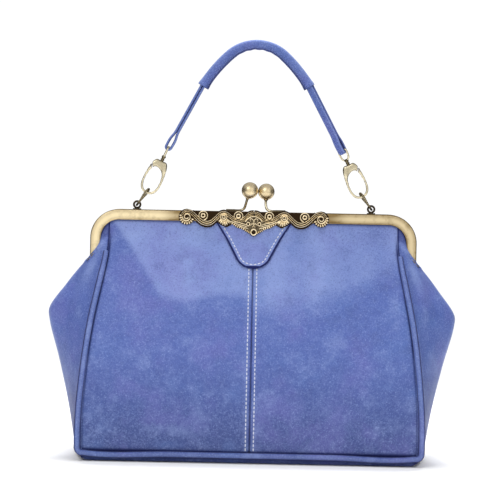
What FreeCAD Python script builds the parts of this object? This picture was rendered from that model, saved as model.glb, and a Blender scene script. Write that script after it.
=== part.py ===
import FreeCAD, Part
import math
import os
import Sketcher

# A frame purse with a kiss lock: a leather bag hung in a hinged metal frame, with a short handle
# that is clipped to two eyes on the rear half of the frame.
# Frame of reference: the front faces -Y, +Z is up, the origin is on the floor under the middle.

# Driving dimensions, in millimetres and degrees.
DIMENSIONS = {
    # metal frame: two half arches of folded channel
    "frame_width": 250.0,
    "frame_height": 188.4,
    "frame_corner_radius": 22.0,
    "frame_face": 8.0,
    "frame_depth": 6.8,
    "frame_sheet": 1.0,
    "frame_edge_round": 1.2,
    "frame_parting": 0.4,
    "hinge_height": 148.0,
    "ear_radius": 4.2,
    "ear_sheet": 1.4,
    "ear_inset": 4.0,
    "ear_grip": 6.0,
    "rivet_radius": 1.6,
    "rivet_head_radius": 2.6,
    "rivet_head_height": 0.7,
    "channel_cord_radius": 1.0,
    "channel_cord_inset": 3.0,
    # clearances
    "running_clearance": 0.05,
    "part_clearance": 0.3,
    "overrun": 1.0,
    # clasp
    "ball_radius": 6.1,
    "ball_spacing": 12.6,
    "ball_middle": 1.8,
    "rear_ball_height": 17.0,
    "front_ball_height": 15.9,
    "ball_crossing": 2.2,
    "ball_seat": 2.0,
    "stem_radius": 1.3,
    "stem_foot_reach": 9.7,
    "stem_collar_radius": 2.0,
    "stem_collar_height": 1.4,
    "foot_length": 14.5,
    "foot_width": 4.2,
    "foot_sheet": 0.8,
    "foot_end": 22.5,
    # ornament on the front of the frame
    "ornament_width": 117.0,
    "ornament_height": 19.0,
    "ornament_sheet": 1.2,
    "ornament_relief": 0.6,
    "ornament_rivet_radius": 0.8,
    "ornament_rivet_head_radius": 1.7,
    "ornament_rivet_head_height": 0.7,
    # posts with eyes, and the links in them
    "post_spacing": 180.0,
    "post_flange_radius": 3.2,
    "post_flange_height": 0.8,
    "post_neck_radius": 1.3,
    "post_neck_height": 1.6,
    "eye_height": 3.7,
    "eye_ring_radius": 2.5,
    "eye_wire_radius": 0.8,
    "link_length": 9.4,
    "link_ring_radius": 3.0,
    "link_wire_radius": 0.85,
    "link_lean": 36.0,
    # snap hooks
    "hook_length": 30.0,
    "hook_width": 13.5,
    "hook_wire": 2.0,
    "hook_thickness": 2.4,
    "hook_shoulder": 20.5,
    "hook_notch": 9.8,
    "hook_lean": 25.0,
    "head_top_width": 7.0,
    "head_thickness": 4.2,
    "gate_thickness": 2.0,
    "gate_clearance": 0.5,
    "gate_eye_radius": 0.95,
    "gate_eye_sheet": 0.9,
    "gate_pivot_rise": 1.6,
    "gate_pivot_inset": 1.42,
    "gate_slot": 1.5,
    "gate_slot_rise": 3.2,
    "gate_pin_radius": 0.5,
    "gate_spring_wire": 0.35,
    "gate_spring_radius": 0.85,
    # swivel loops
    "shank_radius": 1.0,
    "shank_button_radius": 1.6,
    "shank_button_height": 0.8,
    "collar_radius": 1.7,
    "collar_height": 1.6,
    "loop_wire_radius": 0.75,
    "loop_corner_radius": 1.2,
    "loop_side": 3.6,
    # handle
    "strap_width": 5.1,
    "strap_sheet": 1.5,
    "strap_fold": 11.0,
    "strap_twist": 55.0,
    "strap_end_clearance": 2.0,
    "crown_radius": 31.0,
    "crown_turn": 42.0,
    "side_radius": 110.0,
    "side_turn": 20.0,
    "sleeve_turn": 17.0,
    "core_turn": 14.0,
    "sleeve_radius": 4.2,
    "sleeve_wall": 0.8,
    # leather body
    "leather": 1.8,
    "base_width": 268.0,
    "base_depth": 104.0,
    "base_panel_width": 253.0,
    "belly_height": 36.0,
    "belly_depth": 102.0,
    "belly_panel_width": 254.4,
    "elbow_height": 109.0,
    "elbow_width": 311.0,
    "elbow_depth": 74.0,
    "elbow_panel_width": 240.0,
    "mouth_width": 253.4,
    "mouth_depth": 35.0,
    "mouth_panel_width": 222.0,
    "fold_height": 128.0,
    "ridge_flat": 8.0,
    "piping_radius": 2.2,
    "piping_lift": 0.3,
    "piping_corner_radius": 2.6,
    "piping_bend_radius": 12.0,
    "lining": 0.8,
    "board": 2.0,
    "flare_height": 168.0,
    "tab_width": 54.0,
    "tab_top_width": 50.0,
    "tab_bottom": 146.9,
    "tab_sheet": 1.1,
    "tab_clearance": 0.3,
}

# Discs that make the scalloped ornament, from the middle outwards on one side: place along the
# half width, depth below the top edge and radius, the last two as shares of the height.
ornament_disc_shares = (
    (0.0, 0.47, 0.42),
    (0.0, 0.82, 0.18),
    (0.16, 0.50, 0.32),
    (0.33, 0.42, 0.27),
    (0.49, 0.33, 0.22),
    (0.64, 0.38, 0.28),
    (0.78, 0.34, 0.22),
    (0.904, 0.38, 0.30),
)
# Raised discs on the ornament, and holes through it, in the same terms.
ornament_boss_shares = ((0.0, 0.42, 0.22), (0.33, 0.45, 0.17), (0.64, 0.44, 0.15), (0.904, 0.38, 0.20))
ornament_hole_shares = ((0.0, 0.82, 0.09), (0.245, 0.58, 0.06), (0.565, 0.50, 0.05), (0.785, 0.42, 0.05))
# Rivets of the ornament: place along the half width and depth below the top edge.
ornament_rivet_shares = ((0.22, 0.19), (0.685, 0.19))
ornament_bar_width_share = 0.88
ornament_bar_depth_share = 0.36
# Outline of the tab's lower half: place along the half width and down its height.
tab_shares = ((1.0, 0.10), (0.82, 0.40), (0.62, 0.66), (0.42, 0.86), (0.20, 0.97))
# How far down the flare, and how far out, the leather under the frame turns.
flare_middle_share = 0.5
flare_middle_depth_share = 0.42


class Size:
    """A number with the sheet expression that gives it, joined by ordinary arithmetic."""

    def __init__(self, number, text):
        self.number = number
        self.text = text

    def __float__(self):
        return self.number

    def __add__(self, other):
        other = sized(other)
        return Size(self.number + other.number, f"({self.text} + {other.text})")

    def __sub__(self, other):
        other = sized(other)
        return Size(self.number - other.number, f"({self.text} - {other.text})")

    def __mul__(self, other):
        other = sized(other)
        return Size(self.number * other.number, f"({self.text} * {other.text})")

    def __truediv__(self, other):
        other = sized(other)
        return Size(self.number / other.number, f"({self.text} / {other.text})")

    def __neg__(self):
        return Size(-self.number, f"(0 - {self.text})")

    def __radd__(self, other):
        return sized(other) + self

    def __rsub__(self, other):
        return sized(other) - self

    def __rmul__(self, other):
        return sized(other) * self


def sized(item):
    """A plain number as a Size, and a Size as it is."""
    return item if isinstance(item, Size) else Size(float(item), f"({float(item)!r})")


def sine(angle):
    return Size(math.sin(math.radians(angle.number)), f"sin({angle.text})")


def cosine(angle):
    return Size(math.cos(math.radians(angle.number)), f"cos({angle.text})")


def root(item):
    return Size(math.sqrt(item.number), f"sqrt({item.text})")


def size(name):
    """A driving dimension by its name in the sheet."""
    return Size(float(sheet.get(name)), f"sizes.{name}")


def bind(item, name, amount):
    """Sets a property of an object and ties it to the sheet."""
    item.setExpression(name, sized(amount).text)


doc = FreeCAD.newDocument("frame_purse")
sheet = doc.addObject("Spreadsheet::Sheet", "sizes")
for row, (alias, number) in enumerate(DIMENSIONS.items(), start=1):
    sheet.set(f"A{row}", str(number))
    sheet.setAlias(f"A{row}", alias)
doc.recompute()
pieces = {}

# Sketches and features.


def new_body(label):
    body = doc.addObject("PartDesign::Body", label)
    body.Label = label
    return body


def new_sketch(body, role, name, offset=0):
    """A sketch on one of the body's own planes, moved along the plane's normal."""
    plane = next(item for item in body.Origin.OriginFeatures if item.Role == role)
    sketch = body.newObject("Sketcher::SketchObject", f"{body.Label}_{name}")
    sketch.AttachmentSupport = [(plane, "")]
    sketch.MapMode = "FlatFace"
    if isinstance(offset, Size):
        bind(sketch, "AttachmentOffset.Base.z", offset)
    return sketch


def constrain(sketch, amount, kind, *where):
    """Adds a dimension to a sketch and ties it to the sheet."""
    index = sketch.addConstraint(Sketcher.Constraint(kind, *where, float(amount)))
    if isinstance(amount, Size):
        sketch.renameConstraint(index, f"size{index}")
        sketch.setExpression(f"Constraints.size{index}", amount.text)


def arc_between(start, stop, radius, turn):
    """The shorter arc from start to stop, to the left (turn 1) or to the right (turn -1)."""
    chord = stop - start
    rise = math.sqrt(max(radius**2 - (chord.Length / 2) ** 2, 0.0))
    across = FreeCAD.Vector(-chord.y, chord.x, 0).normalize()
    middle = (start + stop) * 0.5 + across * (rise * turn)
    ends = [math.atan2(place.y - middle.y, place.x - middle.x) for place in (start, stop)]
    if turn < 0:
        ends.reverse()
    return Part.ArcOfCircle(Part.Circle(middle, FreeCAD.Vector(0, 0, 1), radius), *ends)


def draw(sketch, corners, closed=True):
    """Lines and arcs from corner to corner; a corner with a radius and a turn starts an arc."""
    places = [FreeCAD.Vector(float(corner[0]), float(corner[1]), 0) for corner in corners]
    ends = []
    for index in range(len(corners) if closed else len(corners) - 1):
        start = places[index]
        stop = places[(index + 1) % len(corners)]
        if len(corners[index]) == 2:
            curve = sketch.addGeometry(Part.LineSegment(start, stop))
            ends.append((curve, 1, 2))
            continue
        radius, turn = corners[index][2:]
        curve = sketch.addGeometry(arc_between(start, stop, float(radius), turn))
        ends.append((curve, 1, 2) if turn > 0 else (curve, 2, 1))
    for index, (curve, first, last) in enumerate(ends):
        constrain(sketch, corners[index][0], "DistanceX", curve, first)
        constrain(sketch, corners[index][1], "DistanceY", curve, first)
        follower = ends[(index + 1) % len(ends)]
        if closed or index + 1 < len(ends):
            sketch.addConstraint(Sketcher.Constraint("Coincident", curve, last, follower[0], follower[1]))
        else:
            constrain(sketch, corners[-1][0], "DistanceX", curve, last)
            constrain(sketch, corners[-1][1], "DistanceY", curve, last)
        if len(corners[index]) > 2:
            constrain(sketch, corners[index][2], "Radius", curve)


def draw_circle(sketch, across, up, radius):
    place = FreeCAD.Vector(float(across), float(up), 0)
    curve = sketch.addGeometry(Part.Circle(place, FreeCAD.Vector(0, 0, 1), float(radius)))
    constrain(sketch, across, "DistanceX", curve, 3)
    constrain(sketch, up, "DistanceY", curve, 3)
    constrain(sketch, radius, "Radius", curve)


def box_corners(left, bottom, right, top):
    return [(left, bottom), (right, bottom), (right, top), (left, top)]


def pad(body, sketch, length, symmetric=False, backwards=False):
    feature = body.newObject("PartDesign::Pad", f"{sketch.Label}_pad")
    feature.Profile = sketch
    feature.SideType = "Symmetric" if symmetric else "One side"
    feature.Reversed = backwards
    bind(feature, "Length", length)
    doc.recompute()
    return feature


def pocket(body, sketch, length, symmetric=False):
    """Cuts a sketch into the body and makes sure that it took something away."""
    before = body.Shape.Volume
    feature = body.newObject("PartDesign::Pocket", f"{sketch.Label}_pocket")
    feature.Profile = sketch
    feature.SideType = "Symmetric" if symmetric else "One side"
    bind(feature, "Length", length)
    doc.recompute()
    if not body.Shape.Volume < before:
        raise ValueError(f"{sketch.Label} cuts nothing")


def pipe(body, profile, path):
    feature = body.newObject("PartDesign::AdditivePipe", f"{path.Label}_pipe")
    feature.Profile = profile
    feature.Spine = (path, [])
    doc.recompute()


def revolve(body, sketch):
    """Turns a half profile round the sketch's upright axis."""
    feature = body.newObject("PartDesign::Revolution", f"{sketch.Label}_turned")
    feature.Profile = sketch
    feature.ReferenceAxis = (sketch, ["V_Axis"])
    doc.recompute()


def primitive(kind, label, place, turned=FreeCAD.Rotation(), **amounts):
    """A plain solid whose sizes and place are tied to the sheet."""
    item = doc.addObject(kind, label)
    item.Placement = FreeCAD.Placement(FreeCAD.Vector(), turned)
    for name, amount in amounts.items():
        bind(item, name, amount)
    for axis, amount in zip("xyz", place):
        if isinstance(amount, Size):
            bind(item, f"Placement.Base.{axis}", amount)
    return item


def fused(label, parts):
    item = doc.addObject("Part::MultiFuse", label)
    item.Label = label
    item.Shapes = parts
    pieces[label] = item


def finish(body, place=None):
    """Files a finished body under its label, moved to its place."""
    if place:
        body.Placement = place
    pieces[body.Label] = body


def free_form(label, shape):
    item = doc.addObject("Part::Feature", label)
    item.Label = label
    item.Shape = shape
    pieces[label] = item


# Places that several pieces share.

HANDS = {"left": -1, "right": 1}
SIDES = {"front": -1, "rear": 1}
clear = size("part_clearance")
running = size("running_clearance")
half_frame = size("frame_width") / 2
frame_top = size("frame_height")
frame_inner = size("frame_parting") / 2
frame_outer = frame_inner + size("frame_depth")
frame_middle = frame_inner + size("frame_depth") / 2
hinge = size("hinge_height")
leg_end = hinge + size("ear_radius") + clear
post_place = size("post_spacing") / 2
swing_place = post_place - size("eye_ring_radius") * sine(size("link_lean"))
swing_height = frame_top + size("eye_height") + size("eye_ring_radius") * cosine(size("link_lean"))
fold_place = swing_place - size("link_length") * sine(size("link_lean"))
fold_axis_height = swing_height + size("link_length") * cosine(size("link_lean"))

# Metal frame.


def arch(inset, foot):
    """The line of the arch at a distance inside the frame's outer edge."""
    half = half_frame - inset
    top = frame_top - inset
    bend = size("frame_corner_radius") - inset
    return [
        (-half, foot),
        (-half, top - bend, bend, -1),
        (-half + bend, top),
        (half - bend, top, bend, -1),
        (half, top - bend),
        (half, foot),
    ]


def ornament_rivet_places():
    for across, down in ornament_rivet_shares:
        for hand in HANDS.values():
            yield hand * across * size("ornament_width") / 2, frame_top - down * size("ornament_height")


def make_frame_half(name, side, ear_inset):
    """A channel bent to an arch, open inwards, with a flat hinge ear at the end of each leg."""
    body = new_body(f"{name}_frame")
    path = new_sketch(body, "XZ_Plane", "line")
    draw(path, arch(sized(0), leg_end), closed=False)
    outer = -half_frame
    wall = size("frame_sheet")
    face = outer + size("frame_face")
    edge = size("frame_edge_round")
    profile = new_sketch(body, "XY_Plane", "channel", leg_end)
    corners = [
        (outer, side * frame_inner),
        (face, side * frame_inner),
        (face, side * (frame_inner + wall)),
        (outer + wall, side * (frame_inner + wall)),
        (outer + wall, side * (frame_outer - wall)),
        (face, side * (frame_outer - wall)),
        (face, side * frame_outer),
        (outer + edge, side * frame_outer, edge, side),
        (outer, side * (frame_outer - edge)),
    ]
    draw(profile, corners)
    pipe(body, profile, path)
    for hand_name, hand in HANDS.items():
        place = hand * (half_frame - ear_inset)
        tang = new_sketch(body, "YZ_Plane", f"{hand_name}_tang", place)
        near = side * (frame_inner + wall / 2)
        draw(tang, box_corners(near, hinge, side * size("ear_radius"), leg_end + size("ear_grip")))
        pad(body, tang, size("ear_sheet"), backwards=hand > 0)
        ear = new_sketch(body, "YZ_Plane", f"{hand_name}_ear", place)
        draw_circle(ear, 0, hinge, size("ear_radius"))
        pad(body, ear, size("ear_sheet"), backwards=hand > 0)
    bore = new_sketch(body, "YZ_Plane", "rivet_bores")
    draw_circle(bore, 0, hinge, size("rivet_radius") + running)
    pocket(body, bore, size("frame_width"), symmetric=True)
    if side < 0:
        holes = new_sketch(body, "XZ_Plane", "ornament_holes", frame_outer)
        for across, up in ornament_rivet_places():
            draw_circle(holes, across, up, size("ornament_rivet_radius") + running)
        pocket(body, holes, wall + wall / 2)
    finish(body)


def make_channel_cord(name, side):
    """Paper cord that wedges the leather in the channel."""
    body = new_body(f"{name}_channel_cord")
    inset = size("channel_cord_inset")
    radius = size("channel_cord_radius")
    path = new_sketch(body, "XZ_Plane", "line")
    draw(path, arch(inset, leg_end + size("ear_grip") + clear), closed=False)
    profile = new_sketch(body, "XY_Plane", "round", leg_end + size("ear_grip") + clear)
    depth = frame_inner + size("frame_sheet") + radius + running
    draw_circle(profile, inset - half_frame, side * depth, radius)
    pipe(body, profile, path)
    finish(body)


def make_hinge_rivet(name, hand):
    """Rivet through the two ears of a leg, with a head at each end."""
    body = new_body(f"{name}_hinge_rivet")
    head = size("rivet_head_height")
    length = 2 * (head + running + size("ear_sheet")) + clear
    profile = new_sketch(body, "XZ_Plane", "half")
    outline = [
        (0, 0),
        (size("rivet_head_radius"), 0),
        (size("rivet_head_radius"), head),
        (size("rivet_radius"), head),
        (size("rivet_radius"), length - head),
        (size("rivet_head_radius"), length - head),
        (size("rivet_head_radius"), length),
        (0, length),
    ]
    draw(profile, outline)
    revolve(body, profile)
    start = half_frame - size("ear_inset") + running + head
    turned = FreeCAD.Rotation(FreeCAD.Vector(0, 1, 0), -90 * hand)
    finish(body, FreeCAD.Placement(FreeCAD.Vector(hand * float(start), 0, float(hinge)), turned))


# Clasp.


def make_clasp(name, side, hand, height):
    """A ball on a stem that leans across the parting, on a foot along the top of the frame half."""
    foot_across = hand * size("stem_foot_reach")
    foot_depth = side * frame_middle
    foot_top = frame_top + size("foot_sheet")
    ball_across = size("ball_middle") + hand * size("ball_spacing") / 2
    ball_depth = -side * size("ball_crossing")
    run = (ball_across - foot_across, ball_depth - foot_depth, height - size("foot_sheet"))
    reach = root(run[0] * run[0] + run[1] * run[1] + run[2] * run[2])
    lean = FreeCAD.Rotation(FreeCAD.Vector(0, 0, 1), FreeCAD.Vector(*(float(step) for step in run)))
    start = (foot_across, foot_depth, foot_top)
    stem = primitive(
        "Part::Cylinder",
        f"{name}_stem",
        start,
        lean,
        Radius=size("stem_radius"),
        Height=reach - size("ball_seat"),
    )
    low = reach - size("ball_radius") - running - size("stem_collar_height")
    collar_place = [place + step * low / reach for place, step in zip(start, run)]
    collar = primitive(
        "Part::Cylinder",
        f"{name}_collar",
        collar_place,
        lean,
        Radius=size("stem_collar_radius"),
        Height=size("stem_collar_height"),
    )
    foot_start = size("foot_end") - size("foot_length")
    corner = foot_start if hand > 0 else -size("foot_end")
    foot = primitive(
        "Part::Box",
        f"{name}_foot",
        (corner, foot_depth - size("foot_width") / 2, frame_top),
        Length=size("foot_length"),
        Width=size("foot_width"),
        Height=size("foot_sheet"),
    )
    fused(f"{name}_clasp_stem", [stem, collar, foot])

    ball = new_body(f"{name}_clasp_ball")
    radius = size("ball_radius")
    bore = size("stem_radius") + running
    mouth = -root(radius * radius - bore * bore)
    bottom = running - size("ball_seat")
    profile = new_sketch(ball, "XZ_Plane", "half")
    outline = [
        (bore, mouth),
        (bore, bottom),
        (0, bottom),
        (0, radius, radius, -1),
        (radius, 0, radius, -1),
    ]
    draw(profile, outline)
    revolve(ball, profile)
    centre = FreeCAD.Vector(float(ball_across), float(ball_depth), float(frame_top + height))
    finish(ball, FreeCAD.Placement(centre, lean))


# Ornament.


def mirrored_places(shares):
    """Places of ornament details on both sides of the middle, as across, up and radius."""
    for across, down, radius in shares:
        for hand in HANDS.values() if across else (1,):
            up = frame_top - down * size("ornament_height")
            yield hand * across * size("ornament_width") / 2, up, radius * size("ornament_height")


def make_ornament():
    """A cast strip with a scalloped lower edge, raised bosses and pierced holes."""
    body = new_body("ornament")
    back = frame_outer + clear
    strip = new_sketch(body, "XZ_Plane", "strip", back)
    half = ornament_bar_width_share * size("ornament_width") / 2
    bottom = frame_top - ornament_bar_depth_share * size("ornament_height")
    draw(strip, box_corners(-half, bottom, half, frame_top - clear))
    pad(body, strip, size("ornament_sheet"))
    for index, disc in enumerate(mirrored_places(ornament_disc_shares)):
        sketch = new_sketch(body, "XZ_Plane", f"disc{index}", back)
        draw_circle(sketch, *disc)
        pad(body, sketch, size("ornament_sheet"))
    bosses = new_sketch(body, "XZ_Plane", "bosses", back)
    for boss in mirrored_places(ornament_boss_shares):
        draw_circle(bosses, *boss)
    pad(body, bosses, size("ornament_sheet") + size("ornament_relief"))
    holes = new_sketch(body, "XZ_Plane", "holes", back)
    for hole in mirrored_places(ornament_hole_shares):
        draw_circle(holes, *hole)
    for across, up in ornament_rivet_places():
        draw_circle(holes, across, up, size("ornament_rivet_radius") + running)
    pocket(body, holes, 2 * (size("ornament_sheet") + size("ornament_relief")), symmetric=True)
    finish(body)

    rivets = []
    forwards = FreeCAD.Rotation(FreeCAD.Vector(1, 0, 0), 90)
    front = frame_outer + clear + size("ornament_sheet")
    shank = size("frame_sheet") + clear + size("ornament_sheet")
    for index, (across, up) in enumerate(ornament_rivet_places()):
        pin = primitive(
            "Part::Cylinder",
            f"ornament_rivet_shank{index}",
            (across, shank - front, up),
            forwards,
            Radius=size("ornament_rivet_radius"),
            Height=shank + size("ornament_rivet_head_height"),
        )
        head = primitive(
            "Part::Cylinder",
            f"ornament_rivet_head{index}",
            (across, -front, up),
            forwards,
            Radius=size("ornament_rivet_head_radius"),
            Height=size("ornament_rivet_head_height"),
        )
        rivets += [pin, head]
    fused("ornament_rivets", rivets)


# Posts, links, hooks and swivel loops.


def make_post(name, hand):
    """A flanged post with an upright eye, on top of the rear half of the frame."""
    across = hand * post_place
    flange = primitive(
        "Part::Cylinder",
        f"{name}_flange",
        (across, frame_middle, frame_top),
        Radius=size("post_flange_radius"),
        Height=size("post_flange_height"),
    )
    neck = primitive(
        "Part::Cylinder",
        f"{name}_neck",
        (across, frame_middle, frame_top),
        Radius=size("post_neck_radius"),
        Height=size("post_neck_height"),
    )
    eye = primitive(
        "Part::Torus",
        f"{name}_eye",
        (across, frame_middle, frame_top + size("eye_height")),
        FreeCAD.Rotation(FreeCAD.Vector(1, 0, 0), 90),
        Radius1=size("eye_ring_radius"),
        Radius2=size("eye_wire_radius"),
    )
    fused(f"{name}_post", [flange, neck, eye])


def leaning(hand, angle, twist=0.0):
    """Turned about the upright axis, then leaned towards the middle of the purse."""
    lean = FreeCAD.Rotation(FreeCAD.Vector(0, 1, 0), -hand * float(angle))
    return lean.multiply(FreeCAD.Rotation(FreeCAD.Vector(0, 0, 1), float(twist)))


def make_link(name, hand):
    """A long wire link round the top of the eye and round the bow of the hook."""
    body = new_body(f"{name}_link")
    ring = size("link_ring_radius")
    length = size("link_length")
    path = new_sketch(body, "YZ_Plane", "line")
    loop = [
        (ring, 0),
        (ring, length, ring, 1),
        (0, length + ring, ring, 1),
        (-ring, length),
        (-ring, 0, ring, 1),
        (0, -ring, ring, 1),
    ]
    draw(path, loop)
    profile = new_sketch(body, "XY_Plane", "wire")
    draw_circle(profile, 0, ring, size("link_wire_radius"))
    pipe(body, profile, path)
    foot = FreeCAD.Vector(hand * float(swing_place), float(frame_middle), float(swing_height))
    finish(body, FreeCAD.Placement(foot, leaning(hand, size("link_lean"))))


def hook_frame(hand, twist=0.0):
    """Where a hook's own frame stands: bottom of its bow at the origin, its length upright."""
    bow = FreeCAD.Vector(hand * float(fold_place), float(frame_middle), float(fold_axis_height))
    down = leaning(hand, size("hook_lean")).multVec(FreeCAD.Vector(0, 0, float(size("hook_wire")) / 2))
    return FreeCAD.Placement(bow - down, leaning(hand, size("hook_lean"), twist))


hook_half = size("hook_width") / 2
hook_bore = hook_half - size("hook_wire")
head_base = size("hook_shoulder") + hook_bore
gate_across = size("gate_pivot_inset") - hook_half
gate_up = size("hook_shoulder") + size("gate_pivot_rise")


def make_hook(name, hand):
    """A flat snap hook with a thicker head, slotted for the gate on its outer side."""
    body = new_body(f"{name}_hook")
    shoulder = size("hook_shoulder")
    notch = size("hook_notch")
    head_half = size("head_top_width") / 2
    outline = new_sketch(body, "XZ_Plane", "outline")
    corners = [
        (-hook_half, notch),
        (-hook_half, hook_half, hook_half, 1),
        (0, 0, hook_half, 1),
        (hook_half, hook_half),
        (hook_half, shoulder),
        (head_half, size("hook_length")),
        (-head_half, size("hook_length")),
        (-hook_half, shoulder),
        (-hook_bore, shoulder, hook_bore, -1),
        (0, head_base, hook_bore, -1),
        (hook_bore, shoulder),
        (hook_bore, hook_half, hook_bore, -1),
        (0, size("hook_wire"), hook_bore, -1),
        (-hook_bore, hook_half),
        (-hook_bore, notch),
    ]
    draw(outline, corners)
    pad(body, outline, size("hook_thickness"), symmetric=True)
    head = new_sketch(body, "XZ_Plane", "head")
    taper = (hook_half - head_half) / (size("hook_length") - shoulder)
    wide = head_half + taper * (size("hook_length") - head_base)
    top = size("hook_length")
    draw(head, [(-wide, head_base), (wide, head_base), (head_half, top), (-head_half, top)])
    pad(body, head, size("head_thickness"), symmetric=True)
    slot = new_sketch(body, "XZ_Plane", "slot")
    low = shoulder - size("overrun")
    high = shoulder + size("gate_slot_rise")
    draw(slot, box_corners(-hook_half - size("overrun"), low, size("overrun") - hook_bore, high))
    pocket(body, slot, size("gate_slot"), symmetric=True)
    pin_hole = new_sketch(body, "XZ_Plane", "pin_hole")
    draw_circle(pin_hole, gate_across, gate_up, size("gate_pin_radius") + running)
    pocket(body, pin_hole, 2 * size("head_thickness"), symmetric=True)
    bore = new_sketch(body, "XY_Plane", "bore", top)
    draw_circle(bore, 0, 0, size("shank_radius") + running)
    pocket(body, bore, top - head_base + size("overrun"))
    finish(body, hook_frame(hand, 180 if hand > 0 else 0))


def make_gate(name, hand):
    """The sprung bar that closes the hook, its pin, and the spring round the pin."""
    place = hook_frame(hand, 180 if hand > 0 else 0)
    eye = size("gate_eye_radius")
    gate = new_body(f"{name}_gate")
    low = size("hook_notch") + size("gate_clearance")
    high = size("hook_shoulder") - size("gate_clearance")
    bar = new_sketch(gate, "XZ_Plane", "bar")
    draw(bar, box_corners(-hook_half, low, -hook_bore, high))
    pad(gate, bar, size("gate_thickness"), symmetric=True)
    plane = -(size("gate_eye_sheet") - size("gate_slot") / 2 + running)
    tang = new_sketch(gate, "XZ_Plane", "tang", plane)
    draw(tang, box_corners(gate_across - eye, high - eye, gate_across + eye, gate_up))
    pad(gate, tang, size("gate_eye_sheet"))
    round_end = new_sketch(gate, "XZ_Plane", "eye", plane)
    draw_circle(round_end, gate_across, gate_up, eye)
    pad(gate, round_end, size("gate_eye_sheet"))
    hole = new_sketch(gate, "XZ_Plane", "hole")
    draw_circle(hole, gate_across, gate_up, size("gate_pin_radius") + running)
    pocket(gate, hole, 2 * size("gate_slot"), symmetric=True)
    finish(gate, place)

    pin = new_body(f"{name}_gate_pin")
    round_pin = new_sketch(pin, "XZ_Plane", "round")
    draw_circle(round_pin, gate_across, gate_up, size("gate_pin_radius"))
    pad(pin, round_pin, size("hook_thickness"), symmetric=True)
    finish(pin, place)

    spring = new_body(f"{name}_gate_spring")
    ring = new_sketch(spring, "XZ_Plane", "ring", running - size("gate_slot") / 2)
    draw_circle(ring, gate_across, gate_up, size("gate_spring_radius"))
    draw_circle(ring, gate_across, gate_up, size("gate_pin_radius") + running)
    pad(spring, ring, size("gate_spring_wire"))
    finish(spring, place)


loop_half = size("strap_width") / 2 + clear + size("loop_wire_radius")
collar_low = size("hook_length") + running
loop_low = collar_low + size("collar_height") - size("loop_wire_radius") / 2
loop_top = loop_low + loop_half + size("loop_side") + size("loop_corner_radius")


def make_swivel_loop(name, hand, twist):
    """A wire loop for the strap on a collar, whose shank turns in the hook's head."""
    body = new_body(f"{name}_swivel_loop")
    corner = size("loop_corner_radius")
    path = new_sketch(body, "YZ_Plane", "line")
    round_loop = [
        (loop_half, loop_low + loop_half),
        (loop_half, loop_top - corner, corner, 1),
        (loop_half - corner, loop_top),
        (corner - loop_half, loop_top, corner, 1),
        (-loop_half, loop_top - corner),
        (-loop_half, loop_low + loop_half, loop_half, 1),
        (0, loop_low, loop_half, 1),
    ]
    draw(path, round_loop)
    wire = new_sketch(body, "XY_Plane", "wire", loop_low + loop_half)
    draw_circle(wire, 0, loop_half, size("loop_wire_radius"))
    pipe(body, wire, path)
    button = size("shank_button_radius")
    button_top = size("hook_shoulder") + root(hook_bore * hook_bore - button * button) - running
    button_low = button_top - size("shank_button_height")
    shank = new_sketch(body, "XZ_Plane", "shank")
    half_profile = [
        (0, button_low),
        (button, button_low),
        (button, button_top),
        (size("shank_radius"), button_top),
        (size("shank_radius"), collar_low),
        (size("collar_radius"), collar_low),
        (size("collar_radius"), collar_low + size("collar_height")),
        (0, collar_low + size("collar_height")),
    ]
    draw(shank, half_profile)
    revolve(body, shank)
    finish(body, hook_frame(hand, twist))


# Handle.

strap_turn = size("crown_turn") + size("side_turn")
bar_place = fold_place - (loop_top - size("hook_wire") / 2) * sine(size("hook_lean"))
bar_height = fold_axis_height + (loop_top - size("hook_wire") / 2) * cosine(size("hook_lean"))


def handle_reach(turn):
    """How far out and down from the crown the handle's line is after a turn of its side arc."""
    crown = size("crown_turn")
    total = crown + turn
    out = size("crown_radius") * sine(crown) + size("side_radius") * (sine(total) - sine(crown))
    down = size("crown_radius") * (1 - cosine(crown))
    return out, down + size("side_radius") * (cosine(crown) - cosine(total))


side_out, side_down = handle_reach(size("side_turn"))
strap_run = (bar_place - side_out) / cosine(strap_turn)
crown_height = bar_height + strap_run * sine(strap_turn) + side_down


def make_handle_tube(label, radii, turn):
    """A tube along the arched handle, made as two halves from the crown."""
    body = new_body(label)
    out, down = handle_reach(turn)
    shoulder_out, shoulder_down = handle_reach(sized(0))
    for name, hand in HANDS.items():
        profile = new_sketch(body, "YZ_Plane", f"{name}_section")
        for radius in radii:
            draw_circle(profile, frame_middle, crown_height, radius)
        path = new_sketch(body, "XZ_Plane", f"{name}_line", -frame_middle)
        line = [
            (0, crown_height, size("crown_radius"), -hand),
            (hand * shoulder_out, crown_height - shoulder_down, size("side_radius"), -hand),
            (hand * out, crown_height - down),
        ]
        draw(path, line, closed=False)
        pipe(body, profile, path)
    finish(body)


def make_strap(name, hand, twist):
    """A leather strip folded round the swivel loop, both ends in the sleeve."""
    body = new_body(f"{name}_strap")
    sheet_two = size("strap_sheet")
    inside = size("loop_wire_radius") + clear
    outside = inside + sheet_two
    fold = size("strap_fold")
    seat = size("side_radius") * (size("side_turn") - size("core_turn")) * (math.pi / 180)
    length = strap_run + seat - size("strap_end_clearance")
    outline = new_sketch(body, "XZ_Plane", "outline")
    edge = [
        (-outside, 0, outside, 1),
        (0, -outside, outside, 1),
        (outside, 0),
        (sheet_two, fold),
        (sheet_two, length),
        (-sheet_two, length),
        (-sheet_two, fold),
    ]
    draw(outline, edge)
    draw(outline, [(-inside, 0, inside, 1), (0, -inside, inside, 1), (inside, 0), (0, fold - sheet_two)])
    pad(body, outline, size("strap_width"), symmetric=True)
    place = FreeCAD.Vector(hand * float(bar_place), float(frame_middle), float(bar_height))
    finish(body, FreeCAD.Placement(place, leaning(hand, 90 - float(strap_turn), twist)))


# Leather body.


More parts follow.
